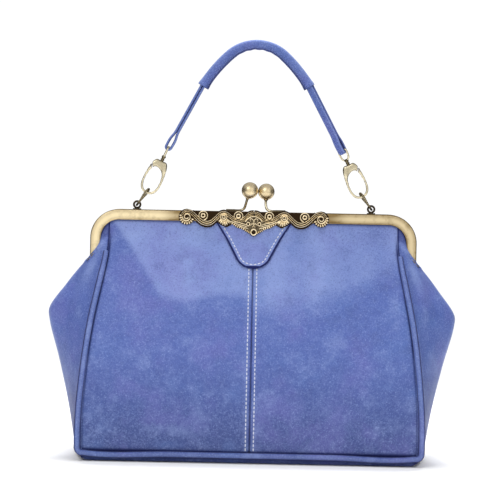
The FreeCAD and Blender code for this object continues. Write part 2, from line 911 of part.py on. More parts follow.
def leather_levels():
    """Height, half depth, half width of the panel and half width of the gusset's crease."""
    half = [
        (0, "base_depth", "base_panel_width", "base_width"),
        (size("belly_height"), "belly_depth", "belly_panel_width", None),
        (size("elbow_height"), "elbow_depth", "elbow_panel_width", "elbow_width"),
        (leg_end - clear, "mouth_depth", "mouth_panel_width", "mouth_width"),
    ]
    levels = []
    for height, depth, panel, ridge in half:
        share = float(height) / float(size("elbow_height"))
        widths = (float(size("base_width")), float(size("elbow_width")))
        width = float(size(ridge)) if ridge else widths[0] + share * (widths[1] - widths[0])
        levels.append((float(height), float(size(depth)) / 2, float(size(panel)) / 2, width / 2))
    return levels


def leather_at(height):
    """Half depth, half panel width and half crease width at a height, between the levels."""
    levels = leather_levels()
    for low, high in zip(levels, levels[1:]):
        if height <= high[0] or high is levels[-1]:
            share = (height - low[0]) / (high[0] - low[0])
            return [below + share * (above - below) for below, above in zip(low[1:], high[1:])]


def heights_between(low, high):
    """A height range with the levels that lie inside it."""
    return [low] + [level[0] for level in leather_levels() if low < level[0] < high] + [high]


def wire_at(height, corners):
    return Part.makePolygon([FreeCAD.Vector(x, y, height) for x, y in corners + corners[:1]])


def loft(heights, corners_at):
    """A solid with flat-sided sections at each height."""
    return Part.makeLoft([wire_at(height, corners_at(height)) for height in heights], True, True)


edge_gap = float(size("piping_radius") + clear)
leather = float(size("leather"))
ridge_half = float(size("ridge_flat")) / 2
seam_height = float(size("piping_lift") + size("piping_radius"))
mouth_height = float(leg_end - clear)
fold_height = float(size("fold_height"))


def panel_corners(side, left, right):
    """Section of a panel from one share of its half width to another, clear of the piping."""

    def corners_at(height):
        depth, width, _ = leather_at(height)
        reach = width - edge_gap
        low = left if abs(left) < reach else math.copysign(reach, left)
        high = right if abs(right) < reach else math.copysign(reach, right)
        corners = [(low, side * depth), (high, side * depth)]
        return corners + [(high, side * (depth - leather)), (low, side * (depth - leather))]

    return corners_at


def gusset_corners(hand):
    """Section of a gusset: two sloping walls that meet at a narrow flat crease."""

    def corners_at(height):
        depth, width, ridge = leather_at(height)
        run = FreeCAD.Vector(ridge - width, depth - ridge_half, 0)
        along = FreeCAD.Vector(run).normalize()
        inward = FreeCAD.Vector(-along.y, along.x, 0)
        start = FreeCAD.Vector(width, -depth, 0) + along * edge_gap
        inner = start + inward * leather
        crease = inner.y + (ridge - leather - inner.x) * run.y / run.x
        front = [(start.x, start.y), (ridge, -ridge_half)]
        back = [(inner.x, inner.y), (ridge - leather, crease)]
        outline = front + [(x, -y) for x, y in reversed(front)] + [(x, -y) for x, y in back]
        outline += list(reversed(back))
        return [(hand * x, y) for x, y in outline]

    return corners_at


def inside_corners(inset):
    """Section of the space inside the leather, a given distance from its outer faces."""

    def corners_at(height):
        depth, width, ridge = leather_at(height)
        run = FreeCAD.Vector(ridge - width, depth - ridge_half, 0)
        along = FreeCAD.Vector(run).normalize()
        start = FreeCAD.Vector(width, -depth, 0) + FreeCAD.Vector(-along.y, along.x, 0) * inset
        slope = run.x / run.y
        corner = start.x + (inset - depth - start.y) * slope
        crease = start.y + (ridge - inset - start.x) / slope
        quarter = [(corner, inset - depth), (ridge - inset, min(crease, 0.0))]
        right = quarter + [(x, -y) for x, y in reversed(quarter)]
        return right + [(-x, -y) for x, y in right]

    return corners_at


def make_leather_body():
    low = seam_height + edge_gap
    panel_heights = heights_between(low, fold_height)
    half_gap = float(clear) / 2
    far = float(size("elbow_width"))
    free_form("front_panel_left", loft(panel_heights, panel_corners(-1, -far, -half_gap)))
    free_form("front_panel_right", loft(panel_heights, panel_corners(-1, half_gap, far)))
    free_form("rear_panel", loft(panel_heights, panel_corners(1, -far, far)))
    fold_heights = heights_between(fold_height, mouth_height)
    for name, side in SIDES.items():
        free_form(f"{name}_panel_fold", loft(fold_heights, panel_corners(side, -far, far)))
    for name, hand in HANDS.items():
        free_form(f"{name}_gusset", loft(heights_between(0.0, fold_height), gusset_corners(hand)))
        free_form(f"{name}_gusset_fold", loft(fold_heights, gusset_corners(hand)))


def make_base():
    """Base panel, the board that stiffens it, and the open lining that stands on the board."""
    gap = float(clear)
    upwards = FreeCAD.Vector(0, 0, 1)
    base_face = Part.Face(wire_at(0.0, inside_corners(edge_gap)(0.0)))
    free_form("base_panel", base_face.extrude(upwards * leather))
    board_low = leather + gap
    board = float(size("board"))
    board_inset = edge_gap + leather
    board_face = Part.Face(wire_at(board_low, inside_corners(board_inset)(board_low)))
    free_form("base_board", board_face.extrude(upwards * board))
    lining = float(size("lining"))
    floor = board_low + board + gap
    top = fold_height - leather
    outer = loft(heights_between(floor, top), inside_corners(edge_gap))
    heights = heights_between(floor + lining, top)
    above = float(size("overrun"))
    inner = loft(heights, inside_corners(edge_gap + lining))
    lid = Part.Face(wire_at(top, inside_corners(edge_gap + lining)(top))).extrude(upwards * above)
    free_form("lining", outer.cut(inner).cut(lid))


def rounded_tube(points, bends, radius):
    """A round tube along straight runs joined by tangent arcs of the given bend radii."""
    edges = []
    start = points[0]
    for before, corner, after, bend in zip(points, points[1:], points[2:], bends):
        back = (before - corner).normalize()
        ahead = (after - corner).normalize()
        half_angle = back.getAngle(ahead) / 2
        reach = bend / math.tan(half_angle)
        enter = corner + back * reach
        leave = corner + ahead * reach
        bisector = (back + ahead).normalize()
        middle = corner + bisector * (bend / math.sin(half_angle) - bend)
        edges.append(Part.LineSegment(start, enter).toShape())
        edges.append(Part.Arc(enter, middle, leave).toShape())
        start = leave
    edges.append(Part.LineSegment(start, points[-1]).toShape())
    circle = Part.Wire(Part.makeCircle(radius, points[0], points[1] - points[0]))
    return Part.Wire(edges).makePipeShell([circle], True, False)


def make_piping(name, side):
    """Piping down one edge of a panel, along the floor seam and up the other edge."""
    right = []
    for height in reversed(heights_between(seam_height, mouth_height)):
        depth, width, _ = leather_at(height)
        right.append(FreeCAD.Vector(width, side * depth, height))
    points = right + [FreeCAD.Vector(-place.x, place.y, place.z) for place in reversed(right)]
    tight = float(size("piping_corner_radius"))
    slack = [float(size("piping_bend_radius"))] * (len(right) - 2)
    tube = rounded_tube(points, slack + [tight, tight] + slack, float(size("piping_radius")))
    free_form(f"{name}_piping", tube)


# Leather held in the frame.

hold_depth = frame_outer - size("frame_sheet") - clear
flare = size("flare_height")
mouth_half_depth = size("mouth_depth") / 2


def hanging_strip(side, gap, sheet, top, below=()):
    """Section of leather that hangs from the channel, flares out, and may go on below the frame."""
    middle_up = flare - flare_middle_share * (flare - leg_end)
    middle = hold_depth + flare_middle_depth_share * (mouth_half_depth - hold_depth)
    line = [(hold_depth, top), (hold_depth, flare), (middle, middle_up)]
    line += [(mouth_half_depth, leg_end + clear), *below]
    outer = [(side * (depth + gap + sheet), up) for depth, up in line]
    inner = [(side * (depth + gap), up) for depth, up in reversed(line)]
    return outer + inner


def cut_from_strip(label, strip, outline, width):
    """The part of a hanging strip inside an outline seen from the front."""
    curve = new_body(f"{label}_curve")
    section = new_sketch(curve, "YZ_Plane", "section")
    draw(section, strip)
    pad(curve, section, width, symmetric=True)
    shape = new_body(f"{label}_shape")
    front = new_sketch(shape, "XZ_Plane", "outline")
    draw(front, outline)
    pad(shape, front, size("base_depth"), symmetric=True)
    common = doc.addObject("Part::Common", label)
    common.Label = label
    common.Base = curve
    common.Tool = shape
    pieces[label] = common


def make_panel_top(name, side):
    """Upper leather of a panel: in the channel along the arch, between the legs below it."""
    inset = size("frame_sheet") + clear
    half = half_frame - inset
    top = frame_top - inset
    bend = size("frame_corner_radius") - inset
    between = half_frame - size("frame_face") - clear
    spring = frame_top - size("frame_corner_radius")
    rise = flare - spring
    reach = half - bend + root(bend * bend - rise * rise)
    bottom = leg_end + clear
    outline = [
        (-between, bottom),
        (between, bottom),
        (between, flare),
        (reach, flare, bend, 1),
        (half - bend, top),
        (bend - half, top, bend, 1),
        (-reach, flare),
        (-between, flare),
    ]
    sheet_thickness = size("leather")
    strip = hanging_strip(side, -sheet_thickness, sheet_thickness, top)
    cut_from_strip(f"{name}_panel_top", strip, outline, size("frame_width"))


def make_tab():
    """The tongue on the front, from behind the ornament down to its rounded tip."""
    top = frame_top - size("frame_face") - clear
    tip = size("tab_bottom")
    height = top - tip
    half = size("tab_width") / 2
    side = [(across * half, top - down * height) for across, down in tab_shares]
    right = [(size("tab_top_width") / 2, top)] + side
    outline = right + [(0, tip)] + [(-across, up) for across, up in reversed(right)]
    mouth = leg_end - clear
    slope = (size("elbow_depth") - size("mouth_depth")) / 2 / (mouth - size("elbow_height"))
    below = [(mouth_half_depth, mouth), (mouth_half_depth + slope * (mouth - tip), tip)]
    strip = hanging_strip(-1, size("tab_clearance"), size("tab_sheet"), top, below)
    cut_from_strip("front_tab", strip, outline, size("tab_width"))


# Assembly.

for side_name, side_sign in SIDES.items():
    ear_step = size("ear_sheet") + clear if side_sign > 0 else sized(0)
    make_frame_half(side_name, side_sign, size("ear_inset") + ear_step)
    make_channel_cord(side_name, side_sign)
    make_panel_top(side_name, side_sign)
    make_piping(side_name, side_sign)
for hand_name, hand_sign in HANDS.items():
    strap_twist = size("strap_twist") if hand_sign > 0 else 0
    make_hinge_rivet(hand_name, hand_sign)
    make_post(hand_name, hand_sign)
    make_link(hand_name, hand_sign)
    make_hook(hand_name, hand_sign)
    make_gate(hand_name, hand_sign)
    make_swivel_loop(hand_name, hand_sign, strap_twist)
    make_strap(hand_name, hand_sign, strap_twist)
make_clasp("front", -1, 1, size("front_ball_height"))
make_clasp("rear", 1, -1, size("rear_ball_height"))
make_ornament()
make_handle_tube(
    "grip_sleeve",
    [size("sleeve_radius"), size("sleeve_radius") - size("sleeve_wall")],
    size("sleeve_turn"),
)
make_handle_tube(
    "grip_core",
    [size("sleeve_radius") - size("sleeve_wall") - clear],
    size("core_turn"),
)
make_leather_body()
make_base()
make_tab()
doc.recompute()

for item in doc.Objects:
    if "Invalid" in item.State or "Error" in item.State:
        raise ValueError(f"{item.Label} failed: {item.State}")
os.makedirs("parts", exist_ok=True)
for label, piece in pieces.items():
    if piece.Shape.isNull() or not piece.Shape.isValid() or not piece.Shape.Solids:
        raise ValueError(f"{label} has no valid solid")
for label, piece in sorted(pieces.items()):
    piece.Shape.exportStep(os.path.join("parts", f"{label}.step"))
    print(label, len(piece.Shape.Solids), round(piece.Shape.Volume, 1))
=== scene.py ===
import math

import bmesh
import bpy
import numpy as np
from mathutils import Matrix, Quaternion, Vector


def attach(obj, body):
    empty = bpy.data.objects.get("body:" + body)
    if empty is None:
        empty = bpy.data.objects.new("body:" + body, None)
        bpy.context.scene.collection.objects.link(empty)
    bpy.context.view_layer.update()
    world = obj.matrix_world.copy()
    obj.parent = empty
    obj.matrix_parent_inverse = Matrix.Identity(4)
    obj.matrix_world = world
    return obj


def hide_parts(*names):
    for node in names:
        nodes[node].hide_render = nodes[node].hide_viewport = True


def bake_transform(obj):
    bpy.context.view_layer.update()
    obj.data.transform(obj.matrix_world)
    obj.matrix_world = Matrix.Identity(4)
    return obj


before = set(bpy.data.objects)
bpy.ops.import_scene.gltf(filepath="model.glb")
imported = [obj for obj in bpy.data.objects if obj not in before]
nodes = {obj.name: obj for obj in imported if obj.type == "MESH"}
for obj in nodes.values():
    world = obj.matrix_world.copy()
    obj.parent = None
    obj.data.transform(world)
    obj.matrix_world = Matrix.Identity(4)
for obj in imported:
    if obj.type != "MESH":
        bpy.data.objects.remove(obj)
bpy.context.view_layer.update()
mm = 0.001  # all shapes below are worked out in millimetres
backward = np.array([0.0, 1.0, 0.0])
frontward = np.array([0.0, -1.0, 0.0])
leatherHalves = {-1: "front_half", 1: "rear_half"}  # frame half that carries the front and the rear leather
# the frame's arch: half of its straight top, the height of its bends' middle, their inner radius
frameArch = {"straight": 103.0, "bendHeight": 166.4, "inner": 14.0}
print("frame loaded:", len(nodes), "nodes")


# mesh tools

def unit(v):
    return v / np.maximum(np.linalg.norm(v, axis=-1, keepdims=True), 1e-12)


def smooth(low, high, x):  # 0 below low, 1 above high, eased between
    t = np.clip((x - low) / (high - low), 0, 1)
    return t * t * (3 - 2 * t)


def bump(x, middle, width):  # bell of height 1
    return np.exp(-((x - middle) / width) ** 2)


def mix(first, second, share):  # from the first value to the second by a share
    return first + (second - first) * share


def circle(count):  # even angles once round
    return np.linspace(0, 2 * np.pi, count, endpoint=False)


def rays(angle):
    return np.stack([np.cos(angle), np.sin(angle)], -1)


# cubic through the values at the knots, with slopes taken from the neighbouring values
def throughPoints(knots, values, where):
    knots, values, where = (np.asarray(item, float) for item in (knots, values, where))
    slopes = np.gradient(values, knots, axis=0)
    cell = np.clip(np.searchsorted(knots, where, side="right") - 1, 0, len(knots) - 2)
    shape = where.shape + (1,) * (values.ndim - 1)
    width = (knots[cell + 1] - knots[cell]).reshape(shape)
    s = (where - knots[cell]).reshape(shape) / width
    start = (1 + 2 * s) * (1 - s) ** 2 * values[cell] + s * (1 - s) ** 2 * width * slopes[cell]
    return start + s * s * (3 - 2 * s) * values[cell + 1] + s * s * (s - 1) * width * slopes[cell + 1]


def upright(flat, depth):  # (across, up) places, all at one depth
    flat = np.atleast_2d(np.asarray(flat, float))
    return np.stack([flat[:, 0], np.full(len(flat), depth), flat[:, 1]], -1)


def lengthAlong(places):
    return np.concatenate([[0], np.cumsum(np.linalg.norm(np.diff(places, axis=0), axis=1))])


# points at equal steps of length along a smooth curve through a few places
def evenly(places, count):
    places = np.asarray(places, float)
    knots = lengthAlong(places)
    fine = throughPoints(knots, places, np.linspace(0, knots[-1], 60 * len(places)))
    length = lengthAlong(fine)
    at = np.linspace(0, length[-1], count)
    return np.stack([np.interp(at, length, fine[:, k]) for k in range(fine.shape[1])], -1)


# quads between neighbouring points of a grid, counted row by row
def gridFaces(rows, cols, wrapRows=False, wrapCols=False):
    r, c = np.meshgrid(np.arange(rows - (not wrapRows)), np.arange(cols - (not wrapCols)), indexing="ij")
    down, right = (r + 1) % rows, (c + 1) % cols
    return np.stack([r * cols + c, down * cols + c, down * cols + right, r * cols + right], -1).reshape(-1, 4)


# a sheet with thickness: outer grid, inner grid, and the rim that joins their borders
def shell(outer, inner):
    rows, cols = outer.shape[:2]
    count = rows * cols
    face = gridFaces(rows, cols)
    edge = np.concatenate([
        np.arange(cols),
        cols * np.arange(1, rows) + cols - 1,
        (rows - 1) * cols + np.arange(cols - 2, -1, -1),
        cols * np.arange(rows - 2, 0, -1),
    ])
    after = np.roll(edge, -1)
    border = np.stack([edge, edge + count, after + count, after], -1)
    return np.concatenate([outer.reshape(-1, 3), inner.reshape(-1, 3)]), [face, face[:, ::-1] + count, border]


def gridNormals(points):  # across times along, one unit vector for each grid point
    return unit(np.cross(np.gradient(points, axis=0), np.gradient(points, axis=1)))


def ringsAlong(path, sideways, outward, profile):  # a profile of (sideways, outward) pairs at each place of a path
    return path[:, None] + profile[..., :1] * sideways[:, None] + profile[..., 1:] * outward[:, None]


# a profile carried along a path, closed by a point at each end
def carried(path, sideways, outward, profile):
    rings = ringsAlong(path, sideways, outward, profile)
    rows, cols = rings.shape[:2]
    c = np.arange(cols)
    after = (c + 1) % cols
    first = np.stack([np.full(cols, rows * cols), after, c], -1)
    last = np.stack([np.full(cols, rows * cols + 1), (rows - 1) * cols + c, (rows - 1) * cols + after], -1)
    verts = np.concatenate([rings.reshape(-1, 3), rings[:1].mean(1), rings[-1:].mean(1)])
    return verts, [gridFaces(rows, cols, wrapCols=True), first, last]


def roundProfile(radius, sides):  # circle of one radius, or of one radius for each place on the path
    return np.asarray(radius, float)[..., None, None] * rays(circle(sides))


def pathFrame(path, outward):  # sideways and outward directions along a path
    along = unit(np.gradient(path, axis=0))
    sideways = unit(np.cross(along, np.broadcast_to(outward, path.shape)))
    return sideways, np.cross(sideways, along)


def tube(path, radius, outward, sides):
    sideways, out = pathFrame(path, np.asarray(outward, float))
    return carried(path, sideways, out, np.broadcast_to(roundProfile(radius, sides), (len(path), sides, 2)))


# a circle of wire in the plane of two directions
def wireRing(centre, first, second, radius, wire, count=28, sides=10):
    angle = circle(count)[:, None]
    outward = np.cos(angle) * first + np.sin(angle) * second
    axis = np.broadcast_to(np.cross(first, second), outward.shape)
    rings = ringsAlong(centre + radius * outward, outward, axis, roundProfile(wire, sides))
    return rings.reshape(-1, 3), [gridFaces(count, sides, True, True)]


# one small bead shape, a ball of a few dozen faces, stretched and placed many times
def beads(centres, along, across, sizes, rings=3, sides=6):
    centres = np.atleast_2d(np.asarray(centres, float))
    along, across = (np.broadcast_to(unit(np.asarray(way, float)), centres.shape) for way in (along, across))
    out = np.cross(along, across)
    sizes = np.broadcast_to(np.asarray(sizes, float), centres.shape) / 2
    lat = np.linspace(-np.pi / 2, np.pi / 2, rings + 2)[1:-1, None]
    lon = circle(sides)[None]
    form = np.stack(np.broadcast_arrays(np.sin(lat), np.cos(lat) * np.cos(lon), np.cos(lat) * np.sin(lon)), -1)
    form = np.concatenate([form.reshape(-1, 3), [[-1, 0, 0], [1, 0, 0]]])
    axes = np.stack([along * sizes[:, :1], across * sizes[:, 1:2], out * sizes[:, 2:]], 1)
    verts = centres[:, None] + form @ axes
    c = np.arange(sides)
    after = (c + 1) % sides
    low = np.stack([np.full(sides, rings * sides), c, after], -1)
    high = np.stack([np.full(sides, rings * sides + 1), (rings - 1) * sides + after, (rings - 1) * sides + c], -1)
    step = np.arange(len(centres))[:, None, None] * len(form)
    quads = (gridFaces(rings, sides, wrapCols=True)[None] + step).reshape(-1, 4)
    return verts.reshape(-1, 3), [quads, (low[None] + step).reshape(-1, 3), (high[None] + step).reshape(-1, 3)]


# a wall round a closed loop: outer grid, inner grid, and a rim at the first and the last row
def hollowRing(outer, inner):
    rows, cols = outer.shape[:2]
    count = rows * cols
    face = gridFaces(rows, cols, wrapCols=True)
    rims = []
    for start in (0, count - cols):
        end = start + np.arange(cols)
        after = np.roll(end, -1)
        rims.append(np.stack([end, after, after + count, end + count], -1))
    return np.concatenate([outer.reshape(-1, 3), inner.reshape(-1, 3)]), [face, face[:, ::-1] + count, *rims]


def ringPaint(values, count, ends):  # the same values on every ring of a carried profile, one value on its ends
    return np.concatenate([np.tile(values, count), [ends, ends]])


def together(*parts):  # several (verts, faces) pairs as one
    verts, faces, start = [], [], 0
    for part in parts:
        verts.append(part[0])
        faces += [block + start for block in part[1]]
        start += len(part[0])
    return np.concatenate(verts), faces


def mirrored(part):  # the same part on the other side of the middle
    return part[0] * np.array([-1, 1, 1]), [block[:, ::-1] for block in part[1]]


def addPaint(mesh, key, values):
    mesh.attributes.new(key, "FLOAT", "POINT").data.foreach_set("value", np.asarray(values, np.float32).ravel())


# a mesh with its painted values; body is a body's name, or -1 or 1 for leather that goes over to a frame half
def putMesh(name, part, finishes, body, slot, replaced=(), sharp=60, faceFinish=None, **paint):
    verts, faces = part
    rows = []
    for block in faces:
        rows += block.tolist()
    mesh = bpy.data.meshes.new(name)
    mesh.from_pydata((verts * mm).tolist(), [], rows)
    for key, values in paint.items():
        addPaint(mesh, key, values)
    bm = bmesh.new()
    bm.from_mesh(mesh)
    bmesh.ops.recalc_face_normals(bm, faces=bm.faces)
    bm.to_mesh(mesh)
    bm.free()
    mesh.polygons.foreach_set("use_smooth", np.ones(len(mesh.polygons), bool))
    mesh.set_sharp_from_angle(angle=math.radians(sharp))
    for finish in finishes:
        mesh.materials.append(finish)
    if faceFinish is not None:
        mesh.polygons.foreach_set("material_index", faceFinish)
    piece = bpy.data.objects.new(name, mesh)
    bpy.context.collection.objects.link(piece)
    if body in leatherHalves:
        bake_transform(piece)
    else:
        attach(piece, body)
    if replaced:
        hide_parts(*replaced)


# shader maths: a socket that can be added, multiplied and so on

class Knob:
    def __init__(self, tree, socket=None):
        self.tree = tree
        self.socket = socket

    def node(self, kind, settings, sockets, output=0):
        made = self.tree.nodes.new(kind)
        for key, value in settings.items():
            setattr(made, key, value)
        for key, value in sockets.items():
            if isinstance(value, Knob):
                self.tree.links.new(value.socket, made.inputs[key])
            else:
                made.inputs[key].default_value = value
        return Knob(self.tree, made.outputs[output] if len(made.outputs) else None)

    def sum(self, operation, first, second=0.0):
        return self.node("ShaderNodeMath", {"operation": operation}, {0: first, 1: second})

    def __add__(self, other):
        return self.sum("ADD", self, other)

    def __sub__(self, other):
        return self.sum("SUBTRACT", self, other)

    def __rsub__(self, other):
        return self.sum("SUBTRACT", other, self)

    def __mul__(self, other):
        return self.sum("MULTIPLY", self, other)

    __radd__ = __add__
    __rmul__ = __mul__

    def noise(self, place, scale, detail=3.0, rough=0.55):
        sockets = {"Vector": place, "Scale": scale, "Detail": detail, "Roughness": rough}
        return self.node("ShaderNodeTexNoise", {}, sockets)

    def range(self, low, high):  # 0 at low, 1 at high, eased between
        sockets = {"Value": self, "From Min": low, "From Max": high}
        return self.node("ShaderNodeMapRange", {"interpolation_type": "SMOOTHSTEP"}, sockets)

    def blend(self, first, second):  # from the first colour to the second
        ends = [item if isinstance(item, Knob) else (*item, 1.0) for item in (first, second)]
        return self.node("ShaderNodeMix", {"data_type": "RGBA"}, {0: self, 6: ends[0], 7: ends[1]}, 2)

    def axis(self, index):  # one of the three parts of a place
        return self.node("ShaderNodeSeparateXYZ", {}, {0: self}, index)


def newFinish(name):
    finish = bpy.data.materials.new(name)
    finish.use_nodes = True
    finish.node_tree.nodes.clear()
    knob = Knob(finish.node_tree)
    return finish, knob, knob.node("ShaderNodeTexCoord", {}, {}, "Object")


def useShader(knob, sockets):
    shader = knob.node("ShaderNodeBsdfPrincipled", {}, sockets)
    knob.node("ShaderNodeOutputMaterial", {}, {"Surface": shader})


def own(knob, name):  # a piece's own painted value
    return knob.node("ShaderNodeAttribute", {"attribute_name": name}, {}, "Fac")


def bumped(knob, height, strength, distance):
    return knob.node("ShaderNodeBump", {}, {"Height": height, "Strength": strength, "Distance": distance})


leatherTones = {
    "low": (0.032, 0.058, 0.212), "middle": (0.072, 0.119, 0.386), "high": (0.212, 0.286, 0.590),
    "pale": (0.240, 0.318, 0.610), "violet": (0.135, 0.130, 0.430), "sky": (0.080, 0.160, 0.430),
    "deep": (0.040, 0.062, 0.225), "seam": (0.003, 0.008, 0.085), "roughness": 0.44,
}
leatherScales = {"cloud": 22.0, "patch": 62.0, "speck": 900.0, "vein": 210.0, "grain": 1050.0}


# waxed leather, darker below: a paler painted sheen, clouds of blue and violet, fine lines, specks, painted highlights
# on folds and ridges, dark seams and painted shade
def leatherFinish(name, tones):
    finish, k, place = newFinish(name)
    cloud = k.noise(place, leatherScales["cloud"], 4.0, 0.6)
    patch = k.noise(place, leatherScales["patch"], 5.0, 0.65)
    speck = k.noise(place, leatherScales["speck"], 3.0, 0.75)
    vein = k.sum("ABSOLUTE", k.noise(place, leatherScales["vein"], 4.0, 0.6) - 0.5).range(0.055, 0.0)
    sockets = {"Vector": place, "Scale": leatherScales["grain"]}
    grain = k.node("ShaderNodeTexVoronoi", {"feature": "SMOOTH_F1"}, sockets)
    colour = place.axis(2).range(0.0, 0.10).blend(tones["low"], tones["middle"])
    # the painted sheen lifts towards the high tone, painted highlights go pale, and the seam tone paints seams and
    # shade
    for weight, tone in (
        (own(k, "glow"), "high"),
        (cloud.range(0.47, 0.68) * 0.42, "violet"),
        (cloud.range(0.47, 0.30) * 0.40, "sky"),
        (patch.range(0.50, 0.72) * 0.34, "pale"),
        (patch.range(0.49, 0.30) * 0.28, "deep"),
        (vein * (0.05 + 0.18 * patch), "pale"),
        (speck.range(0.53, 0.66) * 0.46, "pale"),
        (speck.range(0.47, 0.34) * 0.46, "deep"),
        (own(k, "rub") * (0.45 + 0.7 * speck), "pale"),
        (own(k, "seam"), "seam"),
    ):
        colour = weight.blend(colour, tones[tone])
    rough = tones["roughness"] + 0.20 * patch - 0.10 * speck + 0.45 * own(k, "seam")
    useShader(k, {"Base Color": colour, "Roughness": rough, "Specular IOR Level": 0.42, "Sheen Weight": 0.08,
                  "Sheen Roughness": 0.5, "Normal": bumped(k, 0.5 * grain + 0.5 * speck, 0.22, 0.0006)})
    return finish


# painted shade along both edges of the arch, for its rounded section
archBrown = (  # share of brown, and the two distances from the bends' middle that it grows between, in metres
    (0.30, 0.0182, 0.0206), (0.50, 0.0208, 0.0221), (0.26, 0.0174, 0.0152), (0.44, 0.0152, 0.0140),
)


# cast or drawn brass: bright where it stands high, brown patina in the recesses, painted shade at edges, joints, gaps
# and undersides, faint brushing
def brassFinish(name, bright, dark, roughness, patina=0.0, brushed=0.0, browned=0.0):
    finish, k, place = newFinish(name)
    stretched = k.node("ShaderNodeMapping", {}, {"Vector": place, "Scale": (1.0, 8.0, 14.0)})
    brush = k.noise(stretched, 160.0, 3.0, 0.6)
    cloud = k.noise(place, 190.0, 4.0, 0.6)
    # patina, and painted shade from each piece's painted values
    tarnish = cloud.range(0.46, 0.74) * (0.12 + patina) + own(k, "recess")
    # the brown along both edges of the arch is painted shade
    if browned:  # browner towards the ornament in the middle, on the right, and along both edges of the arch
        right = place.axis(0)
        across = k.sum("ABSOLUTE", right)
        beyond = k.sum("MAXIMUM", across - frameArch["straight"] * mm, 0.0)
        above = k.sum("MAXIMUM", place.axis(2) - frameArch["bendHeight"] * mm, 0.0)
        reach = k.sum("SQRT", beyond * beyond + above * above)
        tarnish = tarnish + 0.75 * across.range(browned + 0.014, browned - 0.006) + 0.30 * right.range(0.04, 0.07)
        for share, low, high in archBrown:
            tarnish = tarnish + share * reach.range(low, high)
    colour = k.node("ShaderNodeClamp", {}, {0: tarnish}).blend(bright, dark)
    useShader(k, {"Base Color": colour, "Metallic": 1.0, "Roughness": roughness + 0.14 * cloud + brushed * brush,
                  "Normal": bumped(k, 0.4 * brush + 0.6 * cloud, 0.03, 0.0003)})
    return finish


# plain woven cloth: two crossed waves of thread
def clothFinish(name, light, dark, pitch):
    finish, k, place = newFinish(name)
    sockets = {"Vector": place, "Scale": pitch, "Distortion": 0.6}
    warp, weft = (k.node("ShaderNodeTexWave", {"bands_direction": way}, sockets) for way in "XZ")
    weave = 0.5 * warp + 0.5 * weft
    colour = (0.6 * weave + 0.4 * k.noise(place, 40.0)).blend(dark, light)
    useShader(k, {"Base Color": colour, "Roughness": 0.82 + 0.1 * weave, "Normal": bumped(k, weave, 0.3, 0.0003)})
    return finish


# twisted thread: fine slanted strands along each stitch
def threadFinish(name, light, dark):
    finish, k, place = newFinish(name)
    strand = k.node("ShaderNodeTexWave", {"bands_direction": "DIAGONAL"}, {"Vector": place, "Scale": 900.0})
    useShader(k, {"Base Color": strand.blend(light, dark), "Roughness": 0.6 + 0.15 * strand,
                  "Normal": bumped(k, strand, 0.4, 0.0001)})
    return finish


blueLeather = leatherFinish("blueLeather", leatherTones)
pipingTones = dict(leatherTones, low=(0.050, 0.080, 0.275), middle=(0.070, 0.110, 0.345))
pipingLeather = leatherFinish("pipingLeather", pipingTones)
satinBrass = brassFinish("satinBrass", (0.95, 0.80, 0.51), (0.27, 0.185, 0.08), 0.30,
                         patina=0.12, brushed=0.06, browned=0.060)
antiqueBrass = brassFinish("antiqueBrass", (0.93, 0.78, 0.52), (0.030, 0.017, 0.008), 0.27, patina=0.06)
ballBrass = brassFinish("ballBrass", (0.82, 0.68, 0.43), (0.24, 0.16, 0.07), 0.31, patina=0.06)
hookBrass = brassFinish("hookBrass", (0.76, 0.68, 0.48), (0.10, 0.075, 0.035), 0.26)
darkBrass = brassFinish("darkBrass", (0.46, 0.39, 0.24), (0.07, 0.05, 0.025), 0.28, patina=0.20)
blackBrass = brassFinish("blackBrass", (0.085, 0.065, 0.045), (0.02, 0.014, 0.008), 0.32, patina=0.30)
springSteel = brassFinish("springSteel", (0.60, 0.60, 0.61), (0.25, 0.25, 0.26), 0.30)
whiteThread = threadFinish("whiteThread", (0.72, 0.74, 0.82), (0.50, 0.53, 0.66))
liningCloth = clothFinish("liningCloth", (0.50, 0.44, 0.36), (0.34, 0.29, 0.23), 260.0)
boardFibre = clothFinish("boardFibre", (0.30, 0.26, 0.21), (0.22, 0.19, 0.15), 90.0)
paperCord = clothFinish("paperCord", (0.62, 0.54, 0.42), (0.46, 0.39, 0.29), 340.0)
print("finishes made")


# leather outside and lining cloth inside; the paint is given for the outer grid
def linedLeather(name, outer, inner, side, replaced, sharp, **paint):
    part = shell(outer, inner)
    cells = (outer.shape[0] - 1) * (outer.shape[1] - 1)
    inside = np.zeros(sum(len(block) for block in part[1]), int)
    inside[cells:2 * cells] = 1
    paint = {key: np.concatenate([values, 0 * values]) for key, values in paint.items()}
    putMesh(name, part, [blueLeather, liningCloth], side, "blue_leather", replaced, sharp, inside, **paint)


# leather panels

panel = {
    "thickness": 1.6, "seamGap": 0.12, "bottom": 6.6, "rows": 150, "cols": 64, "crowding": 0.13,
    "crown": 1.6, "wave": 2.6, "sway": 0.5, "edgeValley": 1.6, "edgeWidth": 1.7, "footValley": 1.5,
    "footWidth": 1.9, "middleValley": 1.3, "middleWidth": 0.75, "middleRidge": 0.35, "seamRow": 3.0,
    "topFlat": 187.1, "cornerBend": 20.7,
    "heights": (0, 12, 36, 75, 109, 130, 145, 152.5, 160, 168, 176, 190),
    "depths": (51.4, 51.7, 51.0, 44.4, 37.0, 28.0, 20.9, 16.8, 11.0, 6.6, 5.9, 5.9),
    "edgeHeights": (0, 12, 36, 72, 109, 130, 157, 168, 190),
    "edges": (126.6, 127.2, 127.2, 124.6, 119.6, 115.6, 110.8, 110.2, 110.0),
}


def panelEdge(z):
    return throughPoints(panel["edgeHeights"], panel["edges"], z)


def panelDepth(z):
    return throughPoints(panel["heights"], panel["depths"], z)


def panelFolds(x, z):  # uneven upright folds
    return 0.55 * np.sin(x / 8.6 + 0.7) + 0.45 * np.sin(x / 5.3 + 2.1 + z / 60) + 0.5 * np.sin(x / 16.5 - 0.4)


